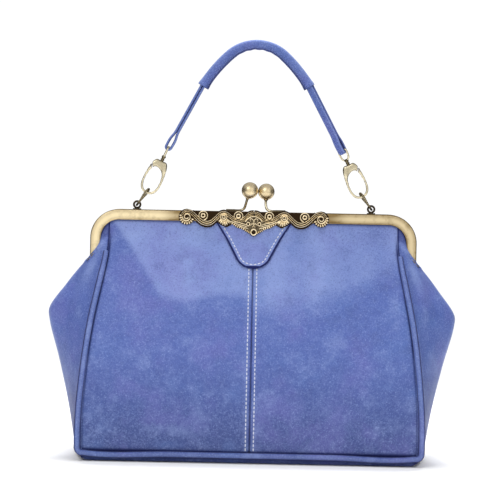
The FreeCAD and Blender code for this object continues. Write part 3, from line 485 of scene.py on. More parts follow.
# how far the panel stands out at a place: hanging line, slight crown, folds under the frame, sunk seams
def panelOut(x, z, centreSeam):
    edge = panelEdge(z)
    across = np.abs(x)
    out = panelDepth(z) + panel["crown"] * (1 - (x / edge) ** 2) * smooth(5, 40, z) * smooth(150, 90, z)
    out = out + panel["wave"] * panelFolds(x, z) * bump(z, 150, 25) * smooth(178, 164, z) * smooth(26, 46, across)
    out = out + panel["sway"] * np.sin(x / 31 + 1.1) * np.sin(z / 37 + 0.4) * smooth(150, 110, z)
    out = out - panel["edgeValley"] * bump(edge - across, 0, panel["edgeWidth"]) * smooth(160, 150, z)
    out = out - panel["footValley"] * bump(z, panel["bottom"], panel["footWidth"])
    if centreSeam:
        low = smooth(152, 148, z)
        out = out - panel["middleValley"] * low * bump(x, 0, panel["middleWidth"])
        out = out + panel["middleRidge"] * low * bump(across, panel["seamRow"], 2.0)
    return out


# painted sheen of the top light on the upper panels
glow = {  # lower edge in the middle, its climb, where the climb starts, its softness, how pale it gets
    "left": (118.5, 1.5, 70.0, 10.0, 0.97), "right": (104.0, 0.5, 45.0, 26.0, 0.72), "wave": 2.0, "folds": 0.20,
}


# painted sheen on the upper part: its wavy lower edge climbs towards the sides, and the folds show in it
def panelGlow(x, z):
    low, climb, start, soft, most = (np.where(x < 0, *pair) for pair in zip(glow["left"], glow["right"]))
    low = low + climb * np.maximum(np.abs(x) - start, 0)
    up = smooth(0, 1, (z - low + glow["wave"] * np.sin(x / 11)) / soft)
    return np.clip(up * (most + glow["folds"] * panelFolds(x, z)), 0, 1)


def underFrame(x, z):  # distance inside the frame's inner edge
    beyond = np.maximum(np.abs(x) - frameArch["straight"], 0)
    return frameArch["inner"] - np.hypot(beyond, np.maximum(z - frameArch["bendHeight"], 0))


def panelSeam(x, z, centreSeam):  # how dark the seams and the line under the frame are painted
    dark = bump(panelEdge(z) - np.abs(x), 0.7, 1.0) * smooth(174, 158, z) + bump(z, panel["bottom"] + 1.6, 1.7)
    # painted shadow under the frame's inner edge
    dark = dark + 0.62 * smooth(2.6, 0.2, underFrame(x, z)) * smooth(160, 170, z)
    if centreSeam:
        dark = dark + 0.6 * bump(x, 0, 0.42) * smooth(151, 147, z)
    return np.clip(dark, 0, 1)


def makePanel(name, side, low, high, centreSeam, replaced):  # low and high are shares of the half width
    share = mix(low, high, (1 - np.cos(np.pi * np.linspace(0, 1, panel["cols"])))[None] / 2)
    up = np.linspace(0, 1, panel["rows"])[:, None]
    up = up - panel["crowding"] * np.sin(2 * np.pi * up)
    past = np.clip(np.abs(share) * panel["edges"][-1] - frameArch["straight"], 0, None)
    corner = frameArch["bendHeight"] + np.sqrt(panel["cornerBend"] ** 2 - past ** 2)
    top = np.where(past > 0, corner, panel["topFlat"])
    z = mix(panel["bottom"], top, up)
    x = share * (panelEdge(z) - panel["seamGap"]) + np.sign(low + high) * panel["seamGap"]
    points = np.stack([x, side * panelOut(x, z, centreSeam), z], -1)
    normal = gridNormals(points)
    inner = points - normal * np.sign(normal[..., 1:2] * side) * panel["thickness"]
    # painted highlight on the ridges beside the centre seam
    rub = 0.25 * bump(np.abs(x), panel["seamRow"], 1.6) * centreSeam
    linedLeather(name, points, inner, side, replaced, sharp=60,
                 seam=panelSeam(x, z, centreSeam), rub=rub, glow=panelGlow(x, z))


makePanel("frontLeatherLeft", -1, -1.0, 0.0, True, ["front_panel_left", "front_panel_fold"])
makePanel("frontLeatherRight", -1, 0.0, 1.0, True, ["front_panel_right", "front_panel_top"])
makePanel("rearLeather", 1, -1.0, 1.0, False, ["rear_panel", "rear_panel_fold", "rear_panel_top"])
print("panels made")


# gussets: one net of places for the front half of the right gusset, from the piping (first) to the crease (last)

gusset = {
    "thickness": 1.6, "rows": 110, "cols": 46, "pucker": 0.5, "middle": (0.0, 0.0, 90.0),
    "foldAt": (118.3, 161.7), "foldSlope": 0.8, "lowShade": {-1: 0.34, 1: 0.20},
    "acrossKnots": (0, 0.26, 0.52, 0.80, 0.93, 1),
    "upKnots": (0, 0.06, 0.22, 0.42, 0.57, 0.635, 0.76, 0.87, 0.925, 0.965, 1),
    "net": (
        ((126.6, -51.6, 6.4), (128.2, -39, 3.6), (130.2, -26, 2.6),
         (132.0, -11, 2.2), (133.2, -4, 2.1), (133.6, 0, 2.1)),
        ((127.0, -51.6, 11), (128.8, -39, 10.5), (131.2, -26, 10),
         (133.3, -11, 10), (134.5, -4, 10), (134.9, 0, 10)),
        ((127.0, -51.0, 36), (130.0, -38, 36), (133.8, -25, 36),
         (137.2, -10.5, 36), (138.7, -3.8, 36), (139.2, 0, 36)),
        ((124.6, -44.8, 72), (130.2, -33, 72), (137.0, -21.5, 72),
         (143.8, -9, 72.5), (146.7, -3.2, 73), (147.5, 0, 73)),
        ((121.2, -39.2, 99), (128.6, -29, 100), (138.6, -18.5, 101),
         (149.9, -7.6, 102.5), (154.4, -2.8, 103), (155.5, 0, 103)),
        ((119.6, -37.0, 109), (127.6, -27.4, 112), (138.0, -17.4, 113),
         (149.9, -7.2, 112.5), (154.7, -2.7, 111.5), (155.9, 0, 111)),
        ((115.7, -28.2, 130), (121.6, -21.8, 132), (129.6, -14.6, 133),
         (138.4, -6.0, 131.5), (142.0, -2.4, 130.6), (142.9, 0, 130.4)),
        ((112.3, -19.6, 148), (116.4, -15.8, 150.0), (122.0, -12.8, 149.4),
         (129.6, -8.6, 144.6), (133.2, -3.4, 142.4), (134.0, 0, 142.0)),
        ((110.8, -12.8, 158), (113.8, -11.0, 160.5), (118.6, -10.4, 157.6),
         (126.2, -9.6, 149.2), (129.8, -5.6, 146.4), (130.6, 0, 146.0)),
        ((110.1, -6.4, 175), (113.6, -7.2, 171.0), (117.0, -8.8, 164.6),
         (121.0, -9.6, 157.6), (125.8, -8.8, 151.4), (127.8, 0, 149.6)),
        ((110.0, -5.7, 182), (114.6, -5.5, 177.0), (117.6, -5.2, 166.0),
         (119.6, -5.6, 158.4), (122.6, -4.6, 152.4), (123.0, 0, 150.8)),
    ),
}


def gussetPoints():  # smooth through the net in both directions, with small puckers near the folds
    up = np.linspace(0, 1, gusset["rows"])
    across = np.linspace(0, 1, gusset["cols"])
    points = throughPoints(gusset["upKnots"], gusset["net"], up)
    points = throughPoints(gusset["acrossKnots"], points.swapaxes(0, 1), across).swapaxes(0, 1)
    s, v = across[None], up[:, None]
    pucker = np.sin(9 * s + 14 * v) * 0.6 + np.sin(17 * s - 23 * v + 1.0) * 0.4
    pucker = pucker * gusset["pucker"] * np.sin(np.pi * s) * (0.4 + 1.2 * bump(v, 0.8, 0.16))
    return points + gridNormals(points) * pucker[..., None], s, v


def makeGusset(name, hand, side, replaced):
    points, s, v = gussetPoints()
    points = points * np.array([hand, -side, 1])
    normal = gridNormals(points)
    outward = np.sign(np.sum(normal * (points - np.array(gusset["middle"])), -1, keepdims=True))
    foldX, foldZ = gusset["foldAt"]
    across, up = np.abs(points[..., 0]), points[..., 2]
    above = up - foldZ - gusset["foldSlope"] * (foldX - across)  # height over the fold in the frame's corner
    # dark seam along the piping, and painted shade beside it, at the floor, under the frame, in the frame's corner
    # above the fold, and lower down, more on the left
    seam = bump(s, 0, 0.085) * smooth(0.99, 0.9, v) + 0.6 * bump(s, 0, 0.06)  # along the piping
    seam = seam + 0.9 * bump(v, 0, 0.012) + 0.6 * smooth(0.962, 1.0, v)  # floor and frame
    seam = seam + 0.45 * smooth(0.5, 3.0, above)
    seam = seam + gusset["lowShade"][hand] * smooth(0.45, 0.08, v) * smooth(1.0, 0.6, s)
    # painted highlights along the crease, along the fold under the frame's corner and on a ridge
    crease = 0.55 * bump(s, 1, 0.10) * bump(v, 0.56, 0.20) + 0.3 * bump(s, 0.97, 0.05)
    rub = crease * smooth(0.02, 0.2, v) + 0.5 * bump(above, -2.0, 2.0) * smooth(0.08, 0.3, s)
    rub = rub + 0.62 * bump(s, 0.48, 0.14) * bump(v, 0.83, 0.08)
    inner = points - normal * outward * gusset["thickness"]
    linedLeather(name, points, inner, side, replaced, sharp=70, seam=np.clip(seam, 0, 1), rub=rub)


makeGusset("leftGussetFront", -1, -1, ["left_gusset"])
makeGusset("leftGussetRear", -1, 1, ["left_gusset_fold"])
makeGusset("rightGussetFront", 1, -1, ["right_gusset"])
makeGusset("rightGussetRear", 1, 1, ["right_gusset_fold"])
print("gussets made")


# piping: a covered cord down one edge, along the floor seam and up the other

piping = {
    "radius": 2.4, "tip": 0.85, "out": 1.3, "lowOut": 0.5, "proud": 0.75, "count": 520, "sides": 20,
    "heights": (156.0, 152, 147, 138, 128, 118, 109, 98, 86, 72, 60, 48, 36, 26, 17, 12.5),
    "foot": ((128.8, 52.2, 9.0), (127.2, 52.2, 6.8), (123.5, 52.2, 6.3), (60, 52.3, 6.3), (0, 52.3, 6.3)),
}


def makePiping(name, side, replaced):  # a round section along the panel's edge, thinner at its tips
    z = np.array(piping["heights"])
    x = panelEdge(z) + piping["out"] + piping["lowOut"] * smooth(60, 15, z)
    right = np.stack([x, side * (panelDepth(z) + piping["proud"]), z], -1)
    places = np.concatenate([right, np.array(piping["foot"]) * np.array([1, side, 1])])
    places = np.concatenate([places, (places * np.array([-1, 1, 1]))[-2::-1]])
    path = evenly(places, piping["count"])
    step = np.arange(piping["count"])
    radius = piping["radius"] * mix(piping["tip"], 1, smooth(0, 26, np.minimum(step, step[::-1])))
    part = tube(path, radius, (0.02, side, -0.1), piping["sides"])
    flank = np.arange(piping["sides"]) * 360 / piping["sides"] - 90  # degrees past the front, towards the gusset
    # painted highlight on the cord's front, and painted shade on both flanks where it meets the leather
    rub = 0.30 * bump(flank, 0, 36)
    seam = smooth(30, 54, flank) * smooth(118, 92, flank) + smooth(-50, -78, flank)
    putMesh(name, part, [pipingLeather], side, "piping_leather", replaced,
            rub=ringPaint(rub, len(path), 0), seam=ringPaint(seam, len(path), 0.3))


makePiping("frontPipingCord", -1, ["front_piping"])
makePiping("rearPipingCord", 1, ["rear_piping"])


# base: a flat leather bottom, a little soft at its edge

base = {
    "panelHalf": 125.6, "creaseHalf": 132.6, "depthHalf": 51.6, "low": 0.35, "thickness": 1.4, "edgeLift": 4.2,
    "endLift": 1.7, "wave": 0.08, "rows": 50, "cols": 70,
}


def makeBase():  # a sheet in the base's outline, lifted in eased steps at its long edges and its ends
    a = np.sin(np.linspace(-np.pi / 2, np.pi / 2, base["cols"]))[None]
    b = np.sin(np.linspace(-np.pi / 2, np.pi / 2, base["rows"]))[:, None]
    y = b * base["depthHalf"] + 0 * a
    x = a * mix(base["creaseHalf"], base["panelHalf"], np.abs(b))
    edge = smooth(0.93, 1.0, np.abs(b)) + 0 * a
    end = smooth(0.965, 1.0, np.abs(a)) * (1 - edge)
    z = base["low"] + base["edgeLift"] * edge + base["endLift"] * end + base["wave"] * np.sin(x / 23) * np.cos(y / 17)
    low = np.stack([x, y, z], -1)
    part = shell(low, low + np.array([0, 0, base["thickness"]]))
    # the lifted edges and ends are painted dark as shade on the underside
    seam = np.tile(np.clip(edge + end, 0, 1).ravel(), 2)
    putMesh("baseLeather", part, [blueLeather], "bag", "blue_leather", ["base_panel"], sharp=42, seam=seam)


makeBase()


# lining: a loose cup of cloth inside the leather

lining = {
    "inset": 3.4, "floor": 5.0, "top": 126.5, "cloth": 0.7, "rows": 46, "round": 160, "floorRows": 12, "wave": 0.008,
    "creaseHeights": (0, 36, 72, 105, 112, 130, 150), "creases": (133, 138.6, 146.6, 153.0, 153.0, 142, 127),
    "creaseInset": 1.0,
}


def liningRing(z, at):  # a place on the six-sided ring at each height, counted in corners from the front right one
    depth = panelDepth(z) - lining["inset"]
    width = panelEdge(z) - lining["inset"]
    crease = throughPoints(lining["creaseHeights"], lining["creases"], z) - lining["inset"] - lining["creaseInset"]
    x = np.stack([width, crease, width, -width, -crease, -width], 1)
    y = np.stack([-depth, 0 * z, depth, depth, 0 * z, -depth], 1)
    corners = np.stack([x, y], -1)
    cell = at.astype(int)
    t = (at - cell)[None, :, None]
    return corners[:, cell % 6] * (1 - t) + corners[:, (cell + 1) % 6] * t


def makeLining():  # the ring at every height with soft waves, drawn in to a floor, then thickened inward
    z = np.linspace(lining["floor"], lining["top"], lining["rows"])
    around = lining["round"]
    at = 6 * np.arange(around) / around
    wave = 1 - lining["wave"] * (1 + np.sin(38 * np.pi * at / 6)[None] * np.sin(z / 19)[:, None])
    wall = np.concatenate([liningRing(z, at) * wave[..., None], np.repeat(z[:, None, None], around, 1)], -1)
    shrink = np.linspace(0.02, 0.97, lining["floorRows"])[:, None, None]
    flat = np.full((lining["floorRows"], around, 1), lining["floor"])
    outer = np.concatenate([np.concatenate([wall[:1, :, :2] * shrink, flat], -1), wall])
    normal = gridNormals(np.concatenate([outer[:, -1:], outer, outer[:, :1]], 1))[:, 1:-1]
    sign = np.sign(np.sum(normal * (np.array([0, 0, 400.0]) - outer), -1, keepdims=True))
    inner = outer + normal * sign * lining["cloth"]
    putMesh("liningCup", hollowRing(outer, inner), [liningCloth], "bag", "lining_cloth", ["lining"])


makeLining()
print("piping, base and lining made")


# tongue on the front with its stitching

tab = {
    "top": 179.8, "tip": 145.3, "thickness": 1.9, "thinner": 0.8, "gap": 0.15, "rounding": 0.45, "inset": 3.7,
    "border": 1.7, "tipBorder": 1.3, "glow": 0.85, "rows": 90, "cols": 91,
    "stitchRun": (177.5, 151.6), "stitchTip": (150.2, 149.2, 148.6), "tipShares": (0.86, 0.6, 0.25),
    "heights": (145.3, 145.7, 147.0, 149.2, 152.0, 155.7, 161.1, 167.4, 175.3, 181),
    "halves": (0.6, 3.8, 7.3, 10.4, 12.6, 14.6, 17.5, 21.0, 26.0, 29.6),
}


def tabHalf(z):
    return np.interp(z, tab["heights"], tab["halves"])


def tabThick(z):  # thinner towards the frame
    return tab["thickness"] - tab["thinner"] * smooth(158, 172, z)


def makeTab():  # the panel's surface inside the outline, lifted by the thickness and rounded at the edge
    z = mix(tab["tip"], tab["top"], np.linspace(0, 1, tab["rows"])[:, None] ** 1.7)
    across = np.linspace(-1, 1, tab["cols"])[None]
    x = across * tabHalf(z)
    z = z + 0 * x
    under = panelOut(x, z, False) + tab["gap"]
    rounding = smooth(0.86, 1.0, np.abs(across)) * smooth(178, 172, z) + smooth(146.9, 145.4, z)
    outer = np.stack([x, -(under + tabThick(z) - tab["rounding"] * rounding), z], -1)
    part = shell(outer, np.stack([x, -under, z], -1))
    # a dark border, wider at the tip, and a dark underside: painted shade and shadow at the tongue's edge; painted
    # sheen over the whole tongue
    border = tab["border"] + tab["tipBorder"] * smooth(151.5, 146.5, z)
    inside = np.minimum((1 - np.abs(across)) * tabHalf(z), (z - tab["tip"]) * 1.2)
    seam = np.concatenate([smooth(border + 0.35, border - 0.35, inside).ravel(), np.ones(x.size)])
    putMesh("frontTongue", part, [blueLeather], -1, "blue_leather", ["front_tab"], sharp=50,
            seam=seam, glow=0 * seam + tab["glow"])


makeTab()

stitch = {"pitch": 3.05, "length": 2.45, "width": 0.95, "height": 0.75, "lift": 0.05, "low": 11.0, "high": 144.6}


def stitchRow(x, z, lift, centreSeam):  # stitches at an even pitch along a line, sunk half into the leather
    places = np.stack([x, -(panelOut(x, z, centreSeam) + lift + stitch["lift"]), z], -1)
    path = evenly(places, max(int(lengthAlong(places)[-1] / stitch["pitch"]), 3))
    along = unit(np.gradient(path, axis=0))
    across = unit(np.cross(along, np.array([0, -1.0, 0.25])))
    return beads(path, along, across, (stitch["length"], stitch["width"], stitch["height"]))


def makeStitches():
    z = np.linspace(stitch["low"], stitch["high"], 80)
    rows = [stitchRow(np.full_like(z, hand * panel["seamRow"]), z, 0.0, True) for hand in (-1, 1)]
    putMesh("seamStitches", together(*rows), [whiteThread], -1, "blue_leather", sharp=42)
    height = np.concatenate([np.linspace(*tab["stitchRun"], 50), tab["stitchTip"]])
    share = np.concatenate([np.ones(50), tab["tipShares"]])
    half = np.clip(tabHalf(height) - tab["inset"], 0, None) * share
    x = np.concatenate([-half, half[::-1]])
    z = np.concatenate([height, height[::-1]])
    row = stitchRow(x, z, tab["gap"] + tabThick(z), False)
    putMesh("tongueStitches", row, [whiteThread], -1, "blue_leather", sharp=42)


makeStitches()
print("tongue and stitches made")


# filigree ornament: a waving ribbon of raised lines, rings, leaf fans and end rosettes, on the frame's front

filigree = {
    "face": -7.25, "top": 188.3, "lowLift": 0.9, "plate": 0.35, "outline": 1.05, "inward": 1.0,
    "ribbonHalf": 1.8, "ribbonRise": 1.35, "trough": -37.0, "troughWider": 0.28, "troughReach": 6.5,
    "ribbon": ((-55.6, 184.6), (-54.7, 186.4), (-53.0, 187.5), (-50.8, 187.6), (-48.9, 186.9), (-47.3, 185.7),
               (-45.4, 183.9), (-43.0, 181.6), (-40.3, 179.8), (-37.1, 179.0), (-33.9, 179.7), (-31.7, 181.4),
               (-29.5, 183.5), (-27.6, 185.4), (-25.8, 186.7), (-23.9, 187.1), (-22.0, 186.5), (-20.0, 185.2),
               (-18.1, 183.8), (-16.2, 182.6), (-13.5, 181.8), (-10.9, 181.8), (-8.6, 182.6), (-6.9, 184.2),
               (-5.1, 185.8), (-3.0, 186.8), (0.0, 187.2)),
    "edge": ((-29.0, 181.5), (-27.9, 180.2), (-25.9, 178.8), (-24.0, 177.9), (-21.9, 177.3), (-19.9, 178.3),
             (-17.4, 179.4), (-15.3, 178.1), (-13.4, 176.9), (-11.1, 176.4), (-8.8, 175.4), (-6.9, 174.1),
             (-4.9, 173.1), (-2.9, 172.2), (0.0, 171.2)),
    "rosette": (-52.4, 183.6), "fan": (-24.2, 184.1), "eye": (-4.9, 179.1), "bottomRing": (0.0, 172.9),
    "rings": ((-39.9, 184.9), (-12.87, 185.0)),
    "veins": (((-6.6, 178.3), (-9.8, 179.4), (-13.2, 180.2), (-16.2, 181.2), (-19.2, 183.2)),
              ((-6.2, 176.9), (-9.3, 177.9), (-12.7, 178.7), (-15.7, 179.8), (-18.4, 180.9)),
              ((-4.9, 175.5), (-7.7, 176.2), (-10.6, 177.1), (-13.2, 177.9)),
              ((-3.0, 181.0), (-3.3, 182.4), (-2.2, 183.2), (-0.9, 182.6), (0.0, 180.9)),
              ((-3.0, 177.9), (-2.0, 179.0), (-0.9, 179.4), (0.0, 178.8))),
    "brow": ((-7.4, 180.6), (-6.4, 182.2), (-4.4, 183.6), (-2.2, 184.6), (0.0, 184.9)),
    "fanTips": ((-3.9, -4.0), (-2.4, -5.2), (-0.6, -6.3), (1.4, -6.9), (3.2, -6.2), (4.9, -5.0), (6.4, -4.3)),
}


def onFace(flat, lift=0.0):  # flat (across, up) places put on the frame's front
    return upright(flat, filigree["face"] - lift)


# one darkening value for all points of a part, used for patina and for painted shade
def evenRecess(part, recess=0.0):  # a part with one recess value for all its points
    return part, np.full(len(part[0]), recess)


def raisedRibbon(flat, half, rise, lines, count):  # a band whose section is a row of rounded ridges
    path = evenly(onFace(flat), count)
    sideways, out = pathFrame(path, frontward)
    w = np.linspace(-1, 1, 10 * lines + 1)
    hump = np.sin(np.pi * lines * (w + 1) / 2) ** 2
    ridge = rise * (0.30 + 0.70 * hump)
    top = np.stack([w * half, ridge * (1 - 0.25 * w ** 4)], -1)
    profile = np.concatenate([top, [[half, -0.2], [-half, -0.2]]])
    wider = 1 + filigree["troughWider"] * bump(path[:, 0], filigree["trough"], filigree["troughReach"])
    part = carried(path, sideways, out, profile[None] * np.stack([wider, np.ones(count)], -1)[:, None])
    recess = np.concatenate([smooth(0.72, 0.2, hump), [1, 1]])
    return part, ringPaint(recess, count, 0.3)


def plainRing(centre, radius, wire, lift):
    return evenRecess(wireRing(onFace(centre, lift)[0], np.array([1.0, 0, 0]), np.array([0, 0, 1.0]), radius, wire))


def petals(centre, turns, reach, length, width, rise):  # beads that point away from a centre
    turns = np.radians(np.asarray(turns, float))
    out = np.stack([np.cos(turns), 0 * turns, np.sin(turns)], -1)
    across = np.stack([-np.sin(turns), 0 * turns, np.cos(turns)], -1)
    return evenRecess(beads(onFace(centre, 0.3) + out * reach, out, across, (length, width, rise), 5, 10))


def edgeBeads(flat, count, size):  # a feathered edge of beads along a line
    path = evenly(onFace(flat, 0.35), count)
    along = unit(np.gradient(path, axis=0))
    return evenRecess(beads(path, np.cross(along, frontward), along, size, 4, 8))


def backPlate(upper, lower, rise, recess, count=90, rows=8):  # a thin plate between two lines
    top, bottom = evenly(onFace(upper), count), evenly(onFace(lower), count)
    t = np.linspace(0, 1, rows)[:, None, None]
    grid = top[None] * (1 - t) + bottom[None] * t
    return evenRecess(shell(grid + frontward * rise, grid), recess)


def spiral(centre, start, turns, outer, inner, wire, lift=0.5, count=60):
    angle = np.radians(start) + np.linspace(0, 2 * np.pi * turns, count)
    flat = np.array(centre) + np.linspace(outer, inner, count)[:, None] * rays(angle)
    return evenRecess(tube(onFace(flat, lift), np.linspace(wire, wire * 0.75, count), frontward, 8))


def fanLeaves():  # long beads from the fan's disc out to its tips
    tips = np.asarray(filigree["fanTips"])
    reach = np.linalg.norm(tips, axis=1, keepdims=True)
    out = np.stack([tips[:, 0], 0 * tips[:, 0], tips[:, 1]], -1) / reach
    across = np.stack([-out[:, 2], 0 * out[:, 0], out[:, 0]], -1)
    sizes = np.concatenate([reach * 0.62, 0 * reach + 1.45, 0 * reach + 1.9], 1)
    return evenRecess(beads(onFace(filigree["fan"], 0.35) + out * reach * 0.68, out, across, sizes, 5, 10))


def dome(centre, width, rise, recess):
    return evenRecess(beads(onFace(centre, 0.2), (1, 0, 0), (0, 0, 1), (width, width, rise), 7, 18), recess)


def fineLine(flat, wire, lift, count=40):
    return evenRecess(tube(evenly(onFace(flat, lift), count), np.full(count, wire), frontward, 8))


def putFiligree(name, items, replaced):  # the low middle stands further out, and both wings are drawn in a little
    verts, faces = together(*[part for part, recess in items])
    x, y, z = verts.T
    y = y - filigree["lowLift"] * smooth(182, 177, z)
    x = x - np.sign(x) * filigree["inward"] * smooth(0, 8, np.abs(x))
    putMesh(name, (np.stack([x, y, z], -1), faces), [antiqueBrass], "front_half", "antique_brass", replaced,
            recess=np.concatenate([recess for part, recess in items]))


def makeOrnament():
    ribbon, edge, fan = (filigree[key] for key in ("ribbon", "edge", "fan"))
    rosette, eye, bottom = (filigree[key] for key in ("rosette", "eye", "bottomRing"))
    plate, half = filigree["plate"], filigree["ribbonHalf"]
    left = [
        # dark plates behind the ribbon's top and under the beaded edge, that one dropped below it, and a wider dark
        # band under the ribbon: painted shade in the gaps and painted shadow under the ornament
        backPlate([(x, filigree["top"]) for x, z in ribbon[3:]], ribbon[3:], plate, 1.0),
        backPlate(ribbon[12:], [(x, z - filigree["outline"]) for x, z in edge], plate, 1.0),
        backPlate(ribbon[12:], edge, plate + 0.25, 0.88),
        evenRecess(raisedRibbon(ribbon[4:], half + 0.75, 0.35, 1, 160)[0], 1.0),
        raisedRibbon(ribbon, half, filigree["ribbonRise"], 3, 240),
        edgeBeads(edge[6:-1], 11, (2.5, 1.35, 2.2)),
        fanLeaves(),
        dome(fan, 5.6, 1.2, 0.9),
        plainRing(fan, 2.5, 0.42, 0.75),
        plainRing(fan, 1.2, 0.40, 0.95),
        *[fineLine(vein, 0.36, 0.80) for vein in filigree["veins"]],
        plainRing(eye, 1.35, 0.48, 0.9),
        dome(eye, 2.0, 1.7, 1.0),
        fineLine(filigree["brow"], 0.42, 0.85),
        # a dark disc behind the rosette: painted shade round its petals
        dome(rosette, 12.4, 0.7, 1.0),
        petals(rosette, np.linspace(168, 338, 9), 4.8, 2.6, 1.5, 2.2),
        dome(rosette, 8.2, 0.8, 1.0),
        spiral(rosette, 175, 1.5, 3.4, 1.1, 0.55),
        *[spiral(ring, -75, 0.86, 3.4, 3.2, 0.48, 0.45) for ring in filigree["rings"]],
    ]
    middle = [
        dome(bottom, 6.6, 0.8, 1.0),
        dome(bottom, 3.6, 2.2, 1.0),
        plainRing(bottom, 2.2, 0.66, 0.9),
        fineLine(((0.0, 181.0), (0.0, 180.0), (0.0, 178.6)), 0.4, 0.85),
        dome((0.0, 186.2), 1.7, 3.2, 1.0),
        petals((0.0, 177.3), (90, 205, 335), 0.9, 1.7, 1.0, 2.0),
    ]
    putFiligree("filigreeOrnament", left + [(mirrored(part), recess) for part, recess in left] + middle, ["ornament"])
    eyelets = []
    for x, z in filigree["rings"]:
        for hand in (1, -1):
            eyelets += [plainRing((hand * x, z), 1.4, 0.58, 0.6), dome((hand * x, z), 2.4, 0.9, 1.0)]
    putFiligree("ornamentEyelets", eyelets, ["ornament_rivets"])


makeOrnament()
print("ornament made")


# raised rim round the inner edge of the frame's face

rim = {"inset": 7.45, "wire": 0.55, "half": 125.0, "top": 188.4, "bend": 22.0, "foot": 154.0, "face": 7.0}


def makeRim(name, side, body):  # a wire along straight legs, quarter circles and the straight top
    half, top, bend = (rim[key] - rim["inset"] for key in ("half", "top", "bend"))
    turn = np.linspace(0, np.pi / 2, 24)
    left = np.stack([-half + bend - bend * np.cos(turn), top - bend + bend * np.sin(turn)], -1)
    leg = np.stack([np.full(20, -half), np.linspace(rim["foot"], top - bend, 20, endpoint=False)], -1)
    bar = np.stack([np.linspace(-half + bend, 0, 30)[1:-1], np.full(28, top)], -1)
    flat = np.concatenate([leg, left, bar])
    flat = np.concatenate([flat, (flat * np.array([-1, 1]))[::-1]])
    path = upright(flat, side * rim["face"])
    part, recess = evenRecess(tube(path, np.full(len(path), rim["wire"]), side * backward, 10))
    putMesh(name, part, [satinBrass], body, "satin_brass", recess=recess)


makeRim("frontFrameRim", -1, "front_half")
makeRim("rearFrameRim", 1, "rear_half")


# handle: sleeve over a core, and a folded strap at each end

handle = {
    "crown": 316.97, "crownRadius": 31.0, "crownTurn": 42.0, "sideRadius": 110.0, "sleeveTurn": 17.0, "depth": 3.6,
    "radius": 3.45, "armRadius": 3.75, "endRadius": 4.2, "lip": 0.75, "wall": 0.8, "crease": 0.22, "groove": 0.12,
    "count": 260, "sides": 40, "bar": (66.66, 236.78), "strapLean": 28.0, "strapRun": 47.71, "strapReach": 9.5,
    "twist": 55.0, "strapWidth": 5.5, "strapSheet": 2.0, "loop": 2.05, "creases": 46.0,
    "strapHeights": (38, 28, 18, 12.5, 10.5, 8.5, 6.2, 3.6), "strapSpread": (0, 0, 0, 0.08, 0.34, 0.8, 1.15, 1.2),
}


def handlePlace(turn):  # across and height of the handle's line after a turn in degrees from the crown
    turn, crown = np.radians(turn), np.radians(handle["crownTurn"])
    first, later = np.minimum(turn, crown), np.maximum(turn, crown)
    out = handle["crownRadius"] * np.sin(first) + handle["sideRadius"] * (np.sin(later) - np.sin(crown))
    down = handle["crownRadius"] * (1 - np.cos(first)) + handle["sideRadius"] * (np.cos(crown) - np.cos(later))
    return out, handle["crown"] - down


# a tube a little wider at its ends, with a sewn lip under it and creases under the crown
def makeSleeve():
    crown = handle["crownTurn"]
    turn = np.concatenate([np.linspace(0, crown, 90), np.linspace(crown, crown + handle["sleeveTurn"], 60)[1:]])
    out, up = handlePlace(turn)
    flat = np.concatenate([np.stack([-out, up], -1)[:0:-1], np.stack([out, up], -1)])
    path = evenly(upright(flat, handle["depth"])[::6], handle["count"])
    signed = np.linspace(-1, 1, len(path))[:, None]
    share = np.abs(signed)
    sideways, outward = pathFrame(path, backward)
    angle = circle(handle["sides"])
    lip = 0.0 if sideways[len(sideways) // 2, 2] < 0 else np.pi  # the side of the sleeve that faces the bag
    offLip = np.angle(np.exp(1j * (angle - lip)))[None]
    offCrest = np.angle(np.exp(1j * (angle - lip - np.pi)))[None]
    under = bump(offLip, 0, 0.9)
    radius = mix(handle["radius"], handle["armRadius"], smooth(0.1, 0.5, share))
    radius = radius + (handle["endRadius"] - handle["armRadius"]) * smooth(0.86, 0.97, share)
    radius = radius + handle["lip"] * bump(offLip, 0, 0.20) - handle["groove"] * bump(share, 0.93, 0.02)
    radius = radius + handle["crease"] * np.sin(handle["creases"] * signed) * bump(share, 0, 0.30) * under
    profile = radius[..., None] * rays(angle)[None]
    outer = ringsAlong(path, sideways, outward, profile)
    hollow = ringsAlong(path, sideways, outward, (1 - handle["wall"] / radius[..., None]) * profile)
    # dark seam beside the lip, painted shade at the ends and on the side facing the bag, painted highlight and sheen
    # along the top
    seam = np.clip(0.75 * bump(offLip, 0.34, 0.12) + 0.5 * smooth(0.985, 1.0, share) + 0.38 * under, 0, 1)
    crest = bump(offCrest, 0, 0.75) + 0 * share
    seam, crest = (np.concatenate([values, 0 * values]) for values in (seam, crest))
    putMesh("gripSleeve", hollowRing(outer, hollow), [blueLeather], "handle", "blue_leather", ["grip_sleeve"],
            seam=seam, rub=crest, glow=0.45 * crest)


makeSleeve()


